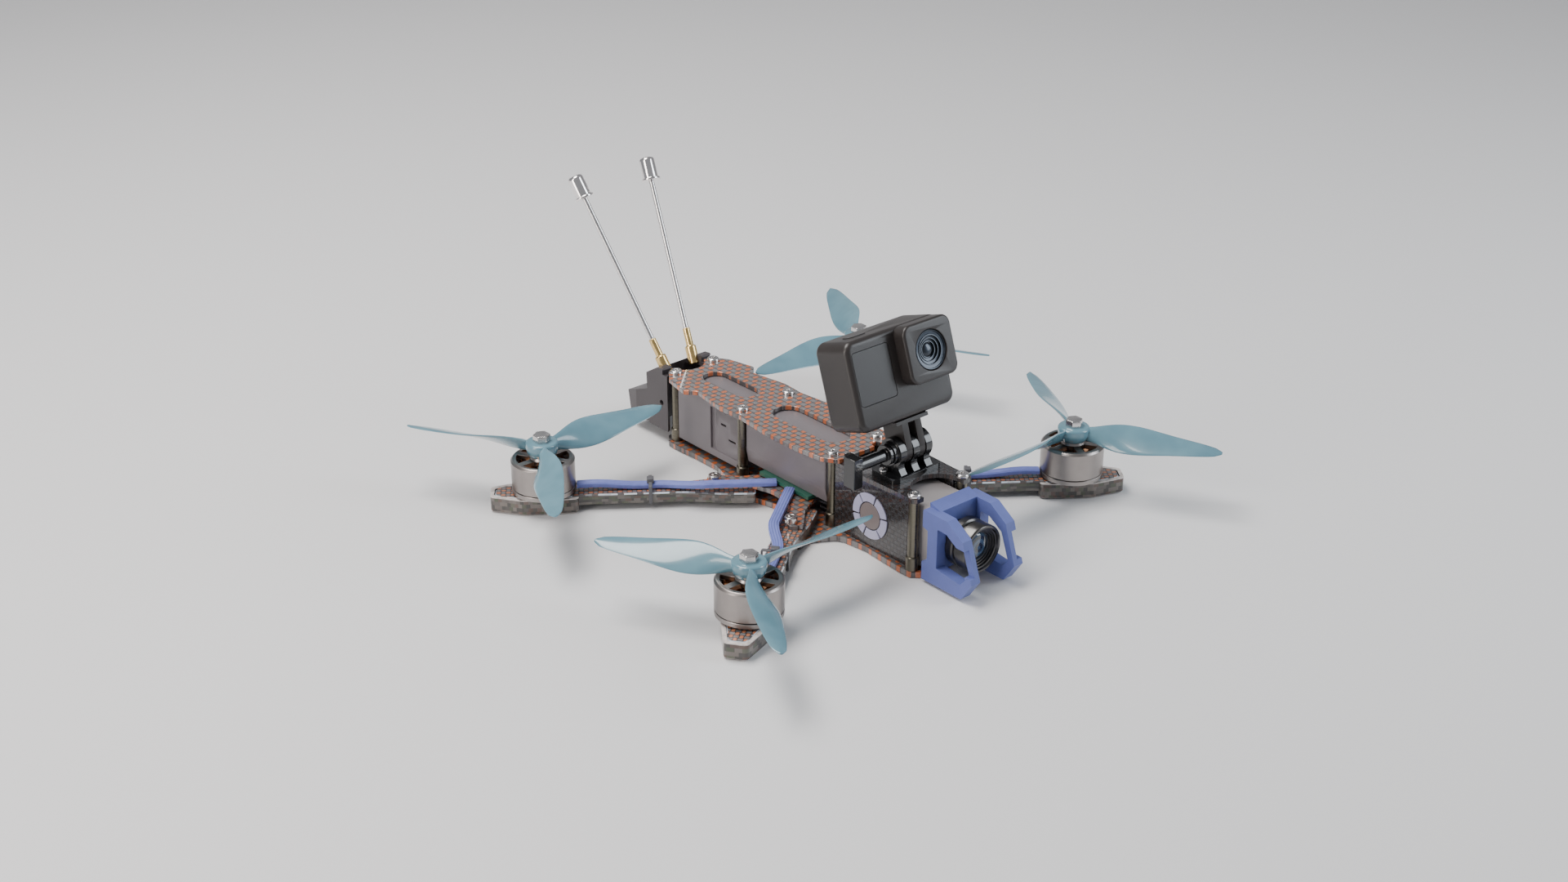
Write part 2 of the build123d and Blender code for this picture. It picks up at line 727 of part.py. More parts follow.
def make_lens_barrel():
    """The lens in its threaded tube, turned to focus, with the glass left out."""
    back = nose_box_y[0] + 3.5
    ring = lens_ring_radius
    neck = lens_neck_radius
    tube = lens_barrel_radius
    profile = [
        (0, back), (neck, back), (neck, -93.2), (ring, -93.8), (ring, -97.2), (tube, -97.6),
        (tube, -98.4), (ring - 0.4, -98.8), (ring, lens_front + 0.6), (ring - 0.5, lens_front),
        (ring - 1.5, lens_front), (glass_radius + 1.4, lens_front + 2.2),
        (glass_radius + 1.0, lens_front + glass_recess), (0, lens_front + glass_recess),
    ]
    face = make_face(Polyline(*profile, close=True))
    return Pos(0, 0, lens_z) * revolve(face, Axis.Y)


def make_lens_glass():
    """The front element: a shallow dome on the barrel's inner seat."""
    seat = lens_front + glass_recess
    sphere_radius = (glass_radius ** 2 + glass_bulge ** 2) / (2 * glass_bulge)
    dome = Pos(0, seat - glass_bulge + sphere_radius, 0) * Sphere(sphere_radius)
    reach = (-glass_radius - 1, glass_radius + 1)
    return Pos(0, 0, lens_z) * (dome & block(reach, (seat - glass_bulge - 1, seat), reach))


guard_profile = [
    (-85.1, 32.8), (-98.6, 32.6), (-107.5, 26.7), (-113.4, 9.6), (-107.8, 1.2),
    (-85.1, 1.2), (-85.1, 9.3), (-88.0, 10.9), (-88.0, 24.3), (-85.1, 25.1),
]
guard_window = [
    (-93.4, 27.0), (-98.3, 26.8), (-105.4, 22.4), (-109.8, 10.6), (-106.8, 7.5), (-93.4, 9.1),
]
guard_relief = [(-120.0, 11.9), (-105.4, 11.9), (-101.5, 23.1), (-120.0, 23.1)]


def make_camera_guard():
    """The printed flexible guard: two open cheeks joined by a back wall."""
    inner = guard_half_width - guard_side
    cheek = side_block(guard_profile, 0.3, inner, guard_half_width)
    cheek -= side_block(guard_window, 0.6, inner - 1, guard_half_width + 1)
    cheek -= side_block(guard_relief, 0.3, inner + strut_width, guard_half_width + 1)
    body = cheek + mirror(cheek, about=Plane.YZ)
    body += block((-inner - 0.5, inner + 0.5), (-91.0, -88.0), (5.5, 31.5))
    body += block((-inner - 0.5, inner + 0.5), (-88.0, -85.1), (25.5, 31.5))
    ledge = [(-85.1, 31.5), (-91.0, 31.5), (-91.0, 32.7), (-85.1, 34.7)]
    body += side_block(ledge, 0, -inner - 1.2, inner + 1.2)
    bore = Pos(0, -89.5, lens_z) * Rot(90, 0, 0) * Cylinder(lens_neck_radius + fit_gap, 12)
    return body - bore


def make_ring_light():
    """The left ring light: six segments round a plain hub."""
    y, z = ring_light_centre
    place = Plane(origin=(nose_plate_outer, y, z), x_dir=(0, 1, 0), z_dir=(1, 0, 0))
    ring = Circle(ring_light_outer) - Circle(ring_light_inner)
    step = 360 / ring_light_segments
    reach = ring_light_outer + 2
    half = math.radians(step / 2 - 2.6)
    wedge = make_face(Polyline(
        (0, 0), (reach * math.cos(half), -reach * math.sin(half)), (reach * 1.3, 0),
        (reach * math.cos(half), reach * math.sin(half)), close=True))
    segment = extrude(ring & wedge, ring_light_thickness)
    hub = extrude(Circle(ring_light_inner - 0.5), ring_light_thickness * 0.8)
    pieces = [turn * segment for turn in PolarLocations(0, ring_light_segments, start_angle=20)]
    return [place * piece for piece in pieces + [hub]]


# ---- tail ----
lean = Rot(-antenna_back_lean, 0, 0)
on_antenna = Pos(*antenna_foot) * Rot(0, antenna_side_lean, 0) * lean


def make_antenna_mount():
    """The printed tail block that holds both antennas, with a bumper behind."""
    half = tail_half_width
    low = tail_bottom
    top = standoff_top
    main = [
        (82.6, low), (82.6, top - 0.3), (86.0, top + 2.9), (89.5, top + 2.5), (98.2, top - 2.9), (97.0, low),
    ]
    body = side_block(main, tail_round, -half, half)
    bumper = [(95.0, 24.1), (114.6, 16.4), (112.0, low), (108.6, low - 2.4), (95.0, low + 1.6)]
    body += side_block(bumper, tail_round, -half, half)
    for s in (1, -1):
        bevel = outline([
            (s * half, 106.5), (s * (half + 1), 106.5), (s * (half + 1), 116.0), (s * (half - 1.8), 116.0),
        ], 0)
        body -= plate(bevel, 0, 40)
        body -= Pos(s * half, *side_hole_place) * Rot(0, 90, 0) * Cylinder(1.3, 6.0)
    body -= Pos(0, antenna_hole_y, 0) * rod(antenna_hole_radius, 0, 60)
    body -= block((tail_wall - half, half - tail_wall), (82, 94.5), (0, standoff_top - 2.5))
    body -= standoff_holes(button_radius + 1.4, 0, 60, [standoff_places[0]])
    body -= block((-20, 20), (70, 86.0), (standoff_top - fit_gap, deck_top + fit_gap))
    socket = on_antenna * rod(connector_radius + running_gap, -4.0, 20)
    return body - [socket, mirror(socket, about=Plane.YZ)]


def make_connector():
    """The left brass connector, in two turned diameters."""
    body = rod(connector_radius, -3.9, connector_thick_length)
    body = chamfer(body.edges().group_by(Axis.Z)[-1], 0.4)
    body += rod(1.7, connector_thick_length, connector_length)
    return on_antenna * body


def make_antenna_rod():
    top = connector_length + antenna_rod_length
    return on_antenna * rod(antenna_rod_radius, connector_length, top)


def make_antenna_cap():
    bottom = connector_length + antenna_rod_length
    flange = rod(cap_flange_radius, bottom, bottom + cap_flange_height)
    flange = fillet(flange.edges(), 0.3)
    body = rod(antenna_cap_radius, bottom + cap_flange_height, bottom + antenna_cap_height)
    body = fillet(body.edges().group_by(Axis.Z)[-1], 1.6)
    return on_antenna * (flange + body)


# ---- action camera mount ----
on_pivot = Pos(0, pivot_y, pivot_z)


def pivot_disc(radius, x_middle, thickness):
    """A disc on the pivot axis."""
    return Pos(x_middle, pivot_y, pivot_z) * Rot(0, 90, 0) * Cylinder(radius, thickness)


def make_camera_mount():
    """The three-prong base, screwed to the nose deck."""
    base_x = (-mount_base_half_width, mount_base_half_width)
    base = block(base_x, mount_base_y, (deck_top, mount_base_top))
    base = fillet(base.edges().filter_by(Axis.Z), 3.0)
    base -= standoff_holes(
        small_screw_radius + screw_clearance, deck_top - 1, mount_base_top + 1, [mount_screw_place])
    foot_z = mount_base_top - 1
    leg = [
        (pivot_y + prong_neck, pivot_z), (pivot_y - prong_neck, pivot_z),
        (pivot_y - prong_neck, foot_z + 1 + leg_root_height), (pivot_y - prong_foot, foot_z),
        (pivot_y + prong_foot, foot_z), (pivot_y + prong_neck, foot_z + 1 + leg_root_height),
    ]
    half = prong_thickness / 2
    for index in (-1, 0, 1):
        x = index * pivot_pitch
        base += pivot_disc(pivot_radius, x, prong_thickness)
        base += side_block(leg, [0, 0, 3.0, 0, 0, 3.0], x - half, x + half)
    boss_middle = -pivot_pitch - half - boss_thickness / 2
    base += pivot_disc(pivot_radius - 1.2, boss_middle, boss_thickness)
    return base - pivot_disc(thumb_screw_radius + running_gap, 0, 60)


def make_thumb_screw():
    """The clamp screw across the prongs, with its long knob on the right."""
    seat = -pivot_pitch - prong_thickness / 2 - boss_thickness - fit_gap
    shank_end = pivot_pitch + prong_thickness / 2 + 1.2
    middle = (seat + shank_end) / 2
    body = pivot_disc(thumb_screw_radius, middle, shank_end - seat)
    body += pivot_disc(knob_flange_radius, seat - knob_flange_thickness / 2, knob_flange_thickness)
    body += pivot_disc(knob_radius, seat - knob_length / 2, knob_length)
    lever_x = (seat - knob_length - 3.0, seat - knob_length + 1.6)
    body += block(lever_x, (pivot_y - 3.2, pivot_y + 3.2), (pivot_z - 8.6, pivot_z + 4.6))
    return body


camera_place = on_pivot * Rot(-camera_tilt, 0, 0)


def make_camera_body():
    """The action camera's case, upright before it is tilted."""
    x = (camera_side - camera_width / 2, camera_side + camera_width / 2)
    y = (camera_back - camera_depth / 2, camera_back + camera_depth / 2)
    z = (camera_rise - camera_height / 2, camera_rise + camera_height / 2)
    body = block(x, y, z)
    body = fillet(body.edges().filter_by(Axis.Y), case_corner)
    body = fillet(body.faces().sort_by(Axis.Y)[0].edges(), case_edge)
    body = fillet(body.faces().sort_by(Axis.Y)[-1].edges(), case_edge)
    front, back = y
    grow = 2 * screen_gap
    front_window = [side + grow for side in screen_size]
    body -= screen_block((front - 1, front + screen_recess), screen_centre, front_window, 1.6)
    rear_window = [side + grow for side in rear_screen_size]
    body -= screen_block((back - screen_recess, back + 1), (camera_side, 0), rear_window, 2.0)
    body -= shutter_shape(button_gap, -1.4, 2.0)
    body -= mode_shape(button_gap, -1.4, 2.0)
    seat = (front - 1, front + lens_house_seat)
    body -= screen_block(seat, lens_house_centre, lens_house_size, lens_house_corner)
    return camera_place * body


def screen_block(y, centre, size, corner):
    """A rounded upright slab, centred a distance from the camera's middle."""
    face = Pos(centre[0], camera_rise + centre[1]) * RectangleRounded(*size, corner)
    return Plane(origin=(0, y[1], 0), x_dir=(1, 0, 0), z_dir=(0, -1, 0)) * extrude(face, y[1] - y[0])


def make_lens_house():
    """The square lens block on the case's front."""
    front = camera_back - camera_depth / 2
    slab = (front - lens_house_depth, front + lens_house_seat)
    body = screen_block(slab, lens_house_centre, lens_house_size, lens_house_corner)
    body = fillet(body.faces().sort_by(Axis.Y)[0].edges(), 1.2)
    body -= lens_place(0) * Cylinder(lens_bore_radius, 2 * lens_bore_depth)
    body -= lens_place(0) * Cylinder(lens_bore_radius - 2.3, 2 * (lens_bore_depth + 2.4))
    return camera_place * body


def lens_place(depth):
    """The action camera's lens axis, a depth behind the lens block's front."""
    u, v = lens_house_centre
    y = camera_back - camera_depth / 2 - lens_house_depth + depth
    return Pos(u, y, camera_rise + v) * Rot(90, 0, 0)


def make_lens_window():
    thickness = 1.0
    return camera_place * lens_place(lens_bore_depth - thickness / 2) * Cylinder(
        lens_bore_radius - fit_gap, thickness)


def make_front_screen():
    front = camera_back - camera_depth / 2
    slab = (front + 0.1, front + screen_recess)
    return camera_place * screen_block(slab, screen_centre, screen_size, 1.4)


def make_rear_screen():
    back = camera_back + camera_depth / 2
    slab = (back - screen_recess, back - 0.1)
    return camera_place * screen_block(slab, (camera_side, 0), rear_screen_size, 1.8)


def shutter_shape(grow, low, high):
    """The oval shutter button's shape on top of the case."""
    face = Pos(-13.5, camera_back) * SlotOverall(10.4 + 2 * grow, 5.6 + 2 * grow)
    top = camera_rise + camera_height / 2
    return plate(face, top + low, high - low)


def mode_shape(grow, low, high):
    """The oval mode button's shape on the left end of the case."""
    face = Pos(camera_back, camera_rise + 6.0) * SlotOverall(9.0 + 2 * grow, 5.0 + 2 * grow, rotation=90)
    end = camera_side + camera_width / 2
    return Plane(origin=(end + low, 0, 0), x_dir=(0, 1, 0), z_dir=(1, 0, 0)) * extrude(face, high - low)


def make_shutter_button():
    return camera_place * shutter_shape(0.0, -0.7, 0.35)


def make_mode_button():
    return camera_place * mode_shape(0.0, -0.7, 0.35)


def make_camera_fingers():
    """Two folding fingers under the case, between the mount's prongs."""
    case_bottom = camera_rise - camera_height / 2
    body = block((-9.0, 9.0), (-7.0, 7.0), (case_bottom - 1.6, case_bottom))
    for s in (1, -1):
        x = s * pivot_pitch / 2
        half = prong_thickness / 2
        body += Pos(x, 0, 0) * Rot(0, 90, 0) * Cylinder(pivot_radius - 0.4, prong_thickness)
        body += block((x - half, x + half), (-6.0, 6.0), (0, case_bottom - 1.0))
    bore = Rot(0, 90, 0) * Cylinder(thumb_screw_radius + running_gap, 60)
    return camera_place * (body - bore)


# ---- every sub-part, by node name ----
nodes = {
    "bottom_plate": make_bottom_plate(),
    "arm_clamp_plate": make_clamp_plate(),
    "top_plate": make_top_plate(),
    "nose_deck_plate": make_nose_deck(),
    "nose_side_plate_left": make_nose_plate(),
    "nose_side_plate_right": mirror(make_nose_plate(), about=Plane.YZ),
    "standoffs": make_standoffs(),
    "frame_screws": make_frame_screws(),
    "stators": in_all_corners([make_stator()]),
    "motor_leads": in_all_corners([make_lead()]),
    "lead_ties": in_all_corners([make_tie()]),
    "motor_screws": in_all_corners(make_motor_screws()),
    "video_transmitter": make_transmitter(),
    "stack_cover": make_stack_cover(),
    "flight_controller": make_flight_controller(),
    "speed_controller": make_speed_controller(),
    "heat_sink": make_heat_sink(),
    "flight_camera_case": make_nose_box(),
    "flight_lens_barrel": make_lens_barrel(),
    "flight_lens_glass": make_lens_glass(),
    "camera_guard": make_camera_guard(),
    "ring_lights": on_both_sides(make_ring_light()),
    "antenna_mount": make_antenna_mount(),
    "antenna_connectors": on_both_sides([make_connector()]),
    "antenna_rods": on_both_sides([make_antenna_rod()]),
    "antenna_caps": on_both_sides([make_antenna_cap()]),
    "camera_mount": make_camera_mount(),
    "thumb_screw": make_thumb_screw(),
    "action_camera_case": make_camera_body(),
    "action_lens_housing": make_lens_house(),
    "action_lens_window": make_lens_window(),
    "action_front_screen": make_front_screen(),
    "action_rear_screen": make_rear_screen(),
    "shutter_button": make_shutter_button(),
    "mode_button": make_mode_button(),
    "camera_fingers": make_camera_fingers(),
}
corner_makers = {
    "arm": make_arm(),
    "arm_guard": make_guard(),
    "motor_base": make_motor_base(),
    "motor_bell": make_bell(),
    "propeller": make_propeller(),
    "prop_nut": make_nut(),
}
for part_name, shape in corner_makers.items():
    for corner, signs in corners.items():
        pieces = shape if isinstance(shape, list) else [shape]
        nodes[f"{part_name}_{corner}"] = [to_corner(piece, *signs) for piece in pieces]

os.makedirs("parts", exist_ok=True)
for name, shape in nodes.items():
    pieces = shape if isinstance(shape, list) else [shape]
    solids = [solid for piece in pieces for solid in piece.solids()]
    model = solids[0] if len(solids) == 1 else Compound(children=solids)
    export_step(model, f"parts/{name}.step")
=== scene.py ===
import json
import math

import bmesh
import bpy
import numpy as np
from mathutils import Matrix, Vector


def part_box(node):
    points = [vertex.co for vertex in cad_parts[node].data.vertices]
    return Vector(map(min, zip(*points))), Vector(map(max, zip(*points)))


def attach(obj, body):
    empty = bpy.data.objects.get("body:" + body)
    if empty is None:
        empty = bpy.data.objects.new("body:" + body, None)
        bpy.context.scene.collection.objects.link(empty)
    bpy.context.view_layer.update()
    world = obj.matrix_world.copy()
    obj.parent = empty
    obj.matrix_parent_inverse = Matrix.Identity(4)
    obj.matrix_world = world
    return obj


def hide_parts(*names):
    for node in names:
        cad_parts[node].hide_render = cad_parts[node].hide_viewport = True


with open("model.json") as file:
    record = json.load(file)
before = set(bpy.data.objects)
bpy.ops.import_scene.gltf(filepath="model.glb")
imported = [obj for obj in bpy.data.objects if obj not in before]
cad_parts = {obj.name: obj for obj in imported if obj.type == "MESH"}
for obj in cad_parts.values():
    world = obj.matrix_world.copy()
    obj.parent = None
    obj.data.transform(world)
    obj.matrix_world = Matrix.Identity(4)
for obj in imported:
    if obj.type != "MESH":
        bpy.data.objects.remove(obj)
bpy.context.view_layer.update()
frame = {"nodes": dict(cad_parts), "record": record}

nodes = frame["nodes"]
mm = 0.001
body_of = {node: body for body, members in frame["record"]["behaviour"]["bodies"].items() for node in members}
corners = ("front_right", "front_left", "rear_right", "rear_left")


# ---- studio ----
# A pale seamless floor under the drone, a large soft lamp over it, two long side lamps for the edges,
# and a camera a little above the right-hand side of the nose.
def matte_surface(name, colour, roughness):
    material = bpy.data.materials.new(name)
    material.use_nodes = True
    shader = material.node_tree.nodes["Principled BSDF"]
    shader.inputs["Base Color"].default_value = (*colour, 1)
    shader.inputs["Roughness"].default_value = roughness
    return material


def sweep_floor(size, rise):
    """A floor that curves up into a wall: y runs back, then turns a quarter circle of radius rise."""
    flat = np.linspace(-size, size, 8)
    turn = np.linspace(0, math.pi / 2, 16)[1:]
    y = np.concatenate([flat, size + rise * np.sin(turn), [size + rise]])
    z = np.concatenate([np.zeros(8), rise * (1 - np.cos(turn)), [rise * 2.5]])
    x = np.linspace(-size * 1.6, size * 1.6, 4)
    grid = np.stack([np.tile(x, (len(y), 1)), np.tile(y[:, None], 4), np.tile(z[:, None], 4)], -1)
    row, column = np.meshgrid(np.arange(len(y) - 1), np.arange(3), indexing="ij")
    first = (row * 4 + column).ravel()
    faces = np.stack([first, first + 1, first + 5, first + 4], -1)
    mesh = bpy.data.meshes.new("floor")
    mesh.from_pydata(grid.reshape(-1, 3).tolist(), [], faces.tolist())
    mesh.shade_smooth()
    return bpy.data.objects.new("floor", mesh)


camera_place = Vector((-0.5438, -0.60744, 0.42201))
camera_turn = math.radians(-41.04)
camera_rise = math.radians(25.83)
camera_roll = math.radians(0.217)

floor = sweep_floor(1.6, 0.7)
floor.data.transform(Matrix.Rotation(camera_turn, 4, "Z"))
floor.data.transform(Matrix.Translation((0, 0, -0.0003)))
floor.data.materials.append(matte_surface("pale_floor", (0.72, 0.72, 0.73), 0.6))
bpy.context.scene.collection.objects.link(floor)

camera = bpy.data.objects.new("camera", bpy.data.cameras.new("camera"))
back = Vector((
    math.sin(camera_turn) * math.cos(camera_rise),
    -math.cos(camera_turn) * math.cos(camera_rise),
    math.sin(camera_rise),
))
level_right = Vector((math.cos(camera_turn), math.sin(camera_turn), 0))
level_up = back.cross(level_right)
right = level_right * math.cos(camera_roll) + level_up * math.sin(camera_roll)
up = level_up * math.cos(camera_roll) - level_right * math.sin(camera_roll)
camera.matrix_world = Matrix.Translation(camera_place) @ Matrix((right, up, back)).transposed().to_4x4()
camera.data.sensor_width = 36
camera.data.lens = 47.88
camera.data.clip_start = 0.02
bpy.context.scene.collection.objects.link(camera)
bpy.context.scene.camera = camera


def soft_lamp(name, place, aim, width, height, watts, colour):
    data = bpy.data.lights.new(name, "AREA")
    data.shape = "RECTANGLE"
    data.size = width
    data.size_y = height
    data.energy = watts
    data.color = colour
    lamp = bpy.data.objects.new(name, data)
    lamp.location = place
    lamp.rotation_euler = (Vector(aim) - Vector(place)).to_track_quat("-Z", "Y").to_euler()
    bpy.context.scene.collection.objects.link(lamp)


soft_lamp("key_lamp", (-0.25, 0.35, 1.1), (0, 0, 0.03), 0.8, 0.5, 17, (1.0, 0.97, 0.94))
soft_lamp("left_lamp", (-1.1, 0.05, 0.45), (0, 0, 0.03), 0.3, 0.9, 8, (1.0, 0.93, 0.88))
soft_lamp("right_lamp", (0.75, -0.75, 0.5), (0, 0, 0.03), 0.4, 0.8, 7, (0.86, 0.93, 1.0))
world = bpy.data.worlds.new("studio")
world.use_nodes = True
world.node_tree.nodes["Background"].inputs[0].default_value = (0.80, 0.82, 0.86, 1)
world.node_tree.nodes["Background"].inputs[1].default_value = 0.38
bpy.context.scene.world = world


# ---- carbon plates ----
# Six flat plates cut from woven carbon laminate: a plain weave under a clear lacquer, with most of the cut
# edges rubbed round. Warp and weft catch the light apart, one cool and one warm, and both that difference and
# the warm glint are painted into the colour.
class Wire:
    """A value on its way through a material: arithmetic on it adds Math nodes."""

    def __init__(self, finish, socket):
        self.finish = finish
        self.socket = socket

    def math(self, operation, *others):
        made = self.finish.node("ShaderNodeMath", {"operation": operation}, (self, *others))
        return Wire(self.finish, made.outputs[0])

    def swapped(self, operation, other):
        made = self.finish.node("ShaderNodeMath", {"operation": operation}, (other, self))
        return Wire(self.finish, made.outputs[0])

    def __add__(self, other):
        return self.math("ADD", other)

    __radd__ = __add__

    def __mul__(self, other):
        return self.math("MULTIPLY", other)

    __rmul__ = __mul__

    def __sub__(self, other):
        return self.math("SUBTRACT", other)

    def __rsub__(self, other):
        return self.swapped("SUBTRACT", other)

    def __truediv__(self, other):
        return self.math("DIVIDE", other)

    def __rtruediv__(self, other):
        return self.swapped("DIVIDE", other)

    def __pow__(self, other):
        return self.math("POWER", other)

    def __abs__(self):
        return self.math("ABSOLUTE")

    def __gt__(self, other):
        return self.math("GREATER_THAN", other)

    def __lt__(self, other):
        return self.math("LESS_THAN", other)

    def floor(self):
        return self.math("FLOOR")

    def fract(self):
        return self.math("FRACT")

    def sine(self):
        return self.math("SINE")

    def smooth(self, low, high):
        """0 below low and 1 above high, with a soft step between."""
        made = self.finish.node(
            "ShaderNodeMapRange", {"interpolation_type": "SMOOTHSTEP"}, (self, low, high, 0.0, 1.0))
        return Wire(self.finish, made.outputs[0])


class Finish:
    """One procedural material: a Principled surface, fed by Wires."""

    def __init__(self, name, colour, **constants):
        self.material = bpy.data.materials.new(name)
        self.material.use_nodes = True
        self.tree = self.material.node_tree
        self.shader = self.tree.nodes["Principled BSDF"]
        self.shader.inputs["Base Color"].default_value = (*colour, 1)
        for socket, value in constants.items():
            self.shader.inputs[socket.replace("_", " ")].default_value = value
        self.colour = colour

    def node(self, kind, settings=(), inputs=()):
        made = self.tree.nodes.new(kind)
        for key, value in dict(settings).items():
            setattr(made, key, value)
        pairs = inputs.items() if isinstance(inputs, dict) else enumerate(inputs)
        for key, value in pairs:
            if isinstance(value, Wire):
                self.tree.links.new(value.socket, made.inputs[key])
            else:
                made.inputs[key].default_value = value
        return made

    def place(self):
        """The surface point's x, y and z in millimetres."""
        where = self.node("ShaderNodeTexCoord")
        split = self.node("ShaderNodeSeparateXYZ", (), (Wire(self, where.outputs["Object"]),))
        return [Wire(self, out) * 1000.0 for out in split.outputs]

    def noise(self, grain, detail=3.0, stretch=(1, 1, 1)):
        """Cloudy noise from 0 to 1, with a grain in millimetres, drawn out along an axis by stretch."""
        where = self.node("ShaderNodeTexCoord")
        scaled = self.node("ShaderNodeMapping", (), {
            "Vector": Wire(self, where.outputs["Object"]), "Scale": [1 / s for s in stretch]})
        made = self.node("ShaderNodeTexNoise", (), {
            "Vector": Wire(self, scaled.outputs[0]), "Scale": 1000.0 / grain, "Detail": detail})
        return Wire(self, made.outputs["Fac"])

    def scatter(self, *cells):
        """A random value from 0 to 1, one for each whole-number cell."""
        joined = self.node("ShaderNodeCombineXYZ", (), cells)
        made = self.node("ShaderNodeTexWhiteNoise", (), {"Vector": Wire(self, joined.outputs[0])})
        return Wire(self, made.outputs["Value"])

    def mix(self, amount, first, second):
        """A colour between two others, which are colours or Wires."""
        ends = [c if isinstance(c, Wire) else (*c, 1) for c in (first, second)]
        made = self.node("ShaderNodeMix", {"data_type": "RGBA"}, {0: amount, 6: ends[0], 7: ends[1]})
        return Wire(self, made.outputs[2])

    def shade(self, amount, depth):
        """The finish's own colour, darker by depth where amount is 0 and lighter by it where it is 1."""
        low = [c * (1 - depth) for c in self.colour]
        high = [min(1.0, c * (1 + depth)) for c in self.colour]
        return self.mix(amount, low, high)

    def feed(self, height=None, depth=0.05, **links):
        """Link wires to the surface; height is a bump, depth millimetres deep."""
        for socket, wire in links.items():
            self.tree.links.new(wire.socket, self.shader.inputs[socket.replace("_", " ")])
        if height is not None:
            bump = self.node("ShaderNodeBump", (), {
                "Strength": 1.0, "Distance": depth * mm, "Height": height})
            self.tree.links.new(bump.outputs["Normal"], self.shader.inputs["Normal"])
        return self.material

    def surface(self):
        """The piece's own map: the share of a turn round it, and the share of the way along its profile."""
        made = self.node("ShaderNodeUVMap", {"uv_map": "along"})
        split = self.node("ShaderNodeSeparateXYZ", (), (Wire(self, made.outputs[0]),))
        return [Wire(self, split.outputs[0]), Wire(self, split.outputs[1])]


def weave(across, along, tow):
    """A plain weave of flat tows: cell (i, j) shows its warp where i - j is even.

    Gives the warp mask, the rounded height of the cell, and the lens-shaped mask of a glint painted at its
    middle, which is the product of how central the point is across the cell and along it."""
    i = across / tow
    j = along / tow
    warp = (i.floor() - j.floor()).math("FLOORED_MODULO", 2.0) < 1.0
    in_i = 1.0 - abs(i.fract() - 0.5) * 2.0
    in_j = 1.0 - abs(j.fract() - 0.5) * 2.0
    width = warp * in_i + (1.0 - warp) * in_j
    length = warp * in_j + (1.0 - warp) * in_i
    crown = width.smooth(0.0, 0.45) * length.smooth(-0.3, 0.2)
    painted_glint = (width * (0.35 + length)).smooth(0.12, 0.5)
    return warp, crown, painted_glint


def carbon_plate(name, tow, pale, glint_colour, gap, upright=False):
    """Warp floats painted pale in patches and weft floats painted dull, as the two directions reflect light
    apart, with a painted warm glint at the weft's middles, and dark gaps between.
    """
    finish = Finish(name, pale, Coat_Weight=1.0, Coat_Roughness=0.05, Metallic=0.2)
    x, y, z = finish.place()
    warp, crown, painted_glint = weave(z if upright else x, y, tow)
    patch = finish.noise(18.0, 2.0)
    shaded_pale = [c * 0.6 for c in pale]
    weft = finish.mix(painted_glint * (0.6 + 0.7 * patch), shaded_pale, glint_colour)
    float_colour = finish.mix(warp, weft, finish.mix(patch, shaded_pale, pale))
    colour = finish.mix(crown, gap, float_colour)
    return finish.feed(crown, 0.05, Base_Color=colour, Roughness=0.44 - 0.2 * crown)


merge_distance = 0.002
flat_angle = math.radians(0.6)
crease_angle = math.radians(32)
bevel_angle = math.radians(40)


def softened(node, material, bevel):
    """A copy of the node's mesh with its triangles merged and its curves smooth.

    With a bevel, in millimetres, flat triangles also become whole faces, and sharp edges are rounded."""
    work = bmesh.new()
    work.from_mesh(nodes[node].data)
    bmesh.ops.remove_doubles(work, verts=work.verts, dist=merge_distance * mm)
    if bevel:
        bmesh.ops.dissolve_limit(
            work, angle_limit=flat_angle, verts=work.verts, edges=work.edges, delimit={"SHARP"})
    mesh = bpy.data.meshes.new(node + "_shell")
    work.to_mesh(mesh)
    work.free()
    mesh.materials.clear()
    mesh.materials.append(material)
    mesh.shade_smooth()
    mesh.set_sharp_from_angle(angle=crease_angle)
    piece = bpy.data.objects.new(mesh.name, mesh)
    bpy.context.scene.collection.objects.link(piece)
    if bevel:
        rounding = piece.modifiers.new("rounding", "BEVEL")
        rounding.width = bevel * mm
        rounding.segments = 2
        rounding.limit_method = "ANGLE"
        rounding.angle_limit = bevel_angle
        rounding.use_clamp_overlap = True
        rounding.harden_normals = False
    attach(piece, body_of[node])
    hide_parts(node)


top_carbon = carbon_plate(
    "top_carbon", 3.0, (0.25, 0.235, 0.235), (0.56, 0.15, 0.05), (0.035, 0.028, 0.028))
dark_carbon = carbon_plate(
    "dark_carbon", 2.0, (0.060, 0.056, 0.060), (0.055, 0.030, 0.026), (0.006, 0.006, 0.007))
softened("top_plate", top_carbon, 0.22)
side_carbon = carbon_plate(
    "side_carbon", 2.0, (0.060, 0.056, 0.060), (0.030, 0.020, 0.018), (0.006, 0.006, 0.007), True)
softened("nose_deck_plate", dark_carbon, 0)
for plate in ("nose_side_plate_left", "nose_side_plate_right"):
    softened(plate, side_carbon, 0.2)
for plate in ("bottom_plate", "arm_clamp_plate"):
    softened(plate, top_carbon, 0.22)


# ---- standoffs and screws ----
# Turned aluminium columns, anodised a dark olive, hold the plates apart. Bright steel button heads close
# them from above, and steel socket heads clamp the arm roots.
olive = Finish("olive_anodised", (0.16, 0.145, 0.11), Metallic=1.0, Coat_Weight=0.3)
turned = olive.noise(0.5, 2.0, (8, 8, 0.25))
olive_metal = olive.feed(
    turned, 0.01, Base_Color=olive.shade(turned, 0.35), Roughness=0.22 + 0.16 * turned)

steel = Finish("bright_steel", (0.72, 0.70, 0.69), Metallic=1.0)
polish = steel.noise(1.2, 4.0)
steel_metal = steel.feed(polish, 0.006, Base_Color=steel.shade(polish, 0.12), Roughness=0.14 + 0.14 * polish)

softened("standoffs", olive_metal, 0.12)
softened("frame_screws", steel_metal, 0.12)
softened("motor_screws", steel_metal, 0.1)
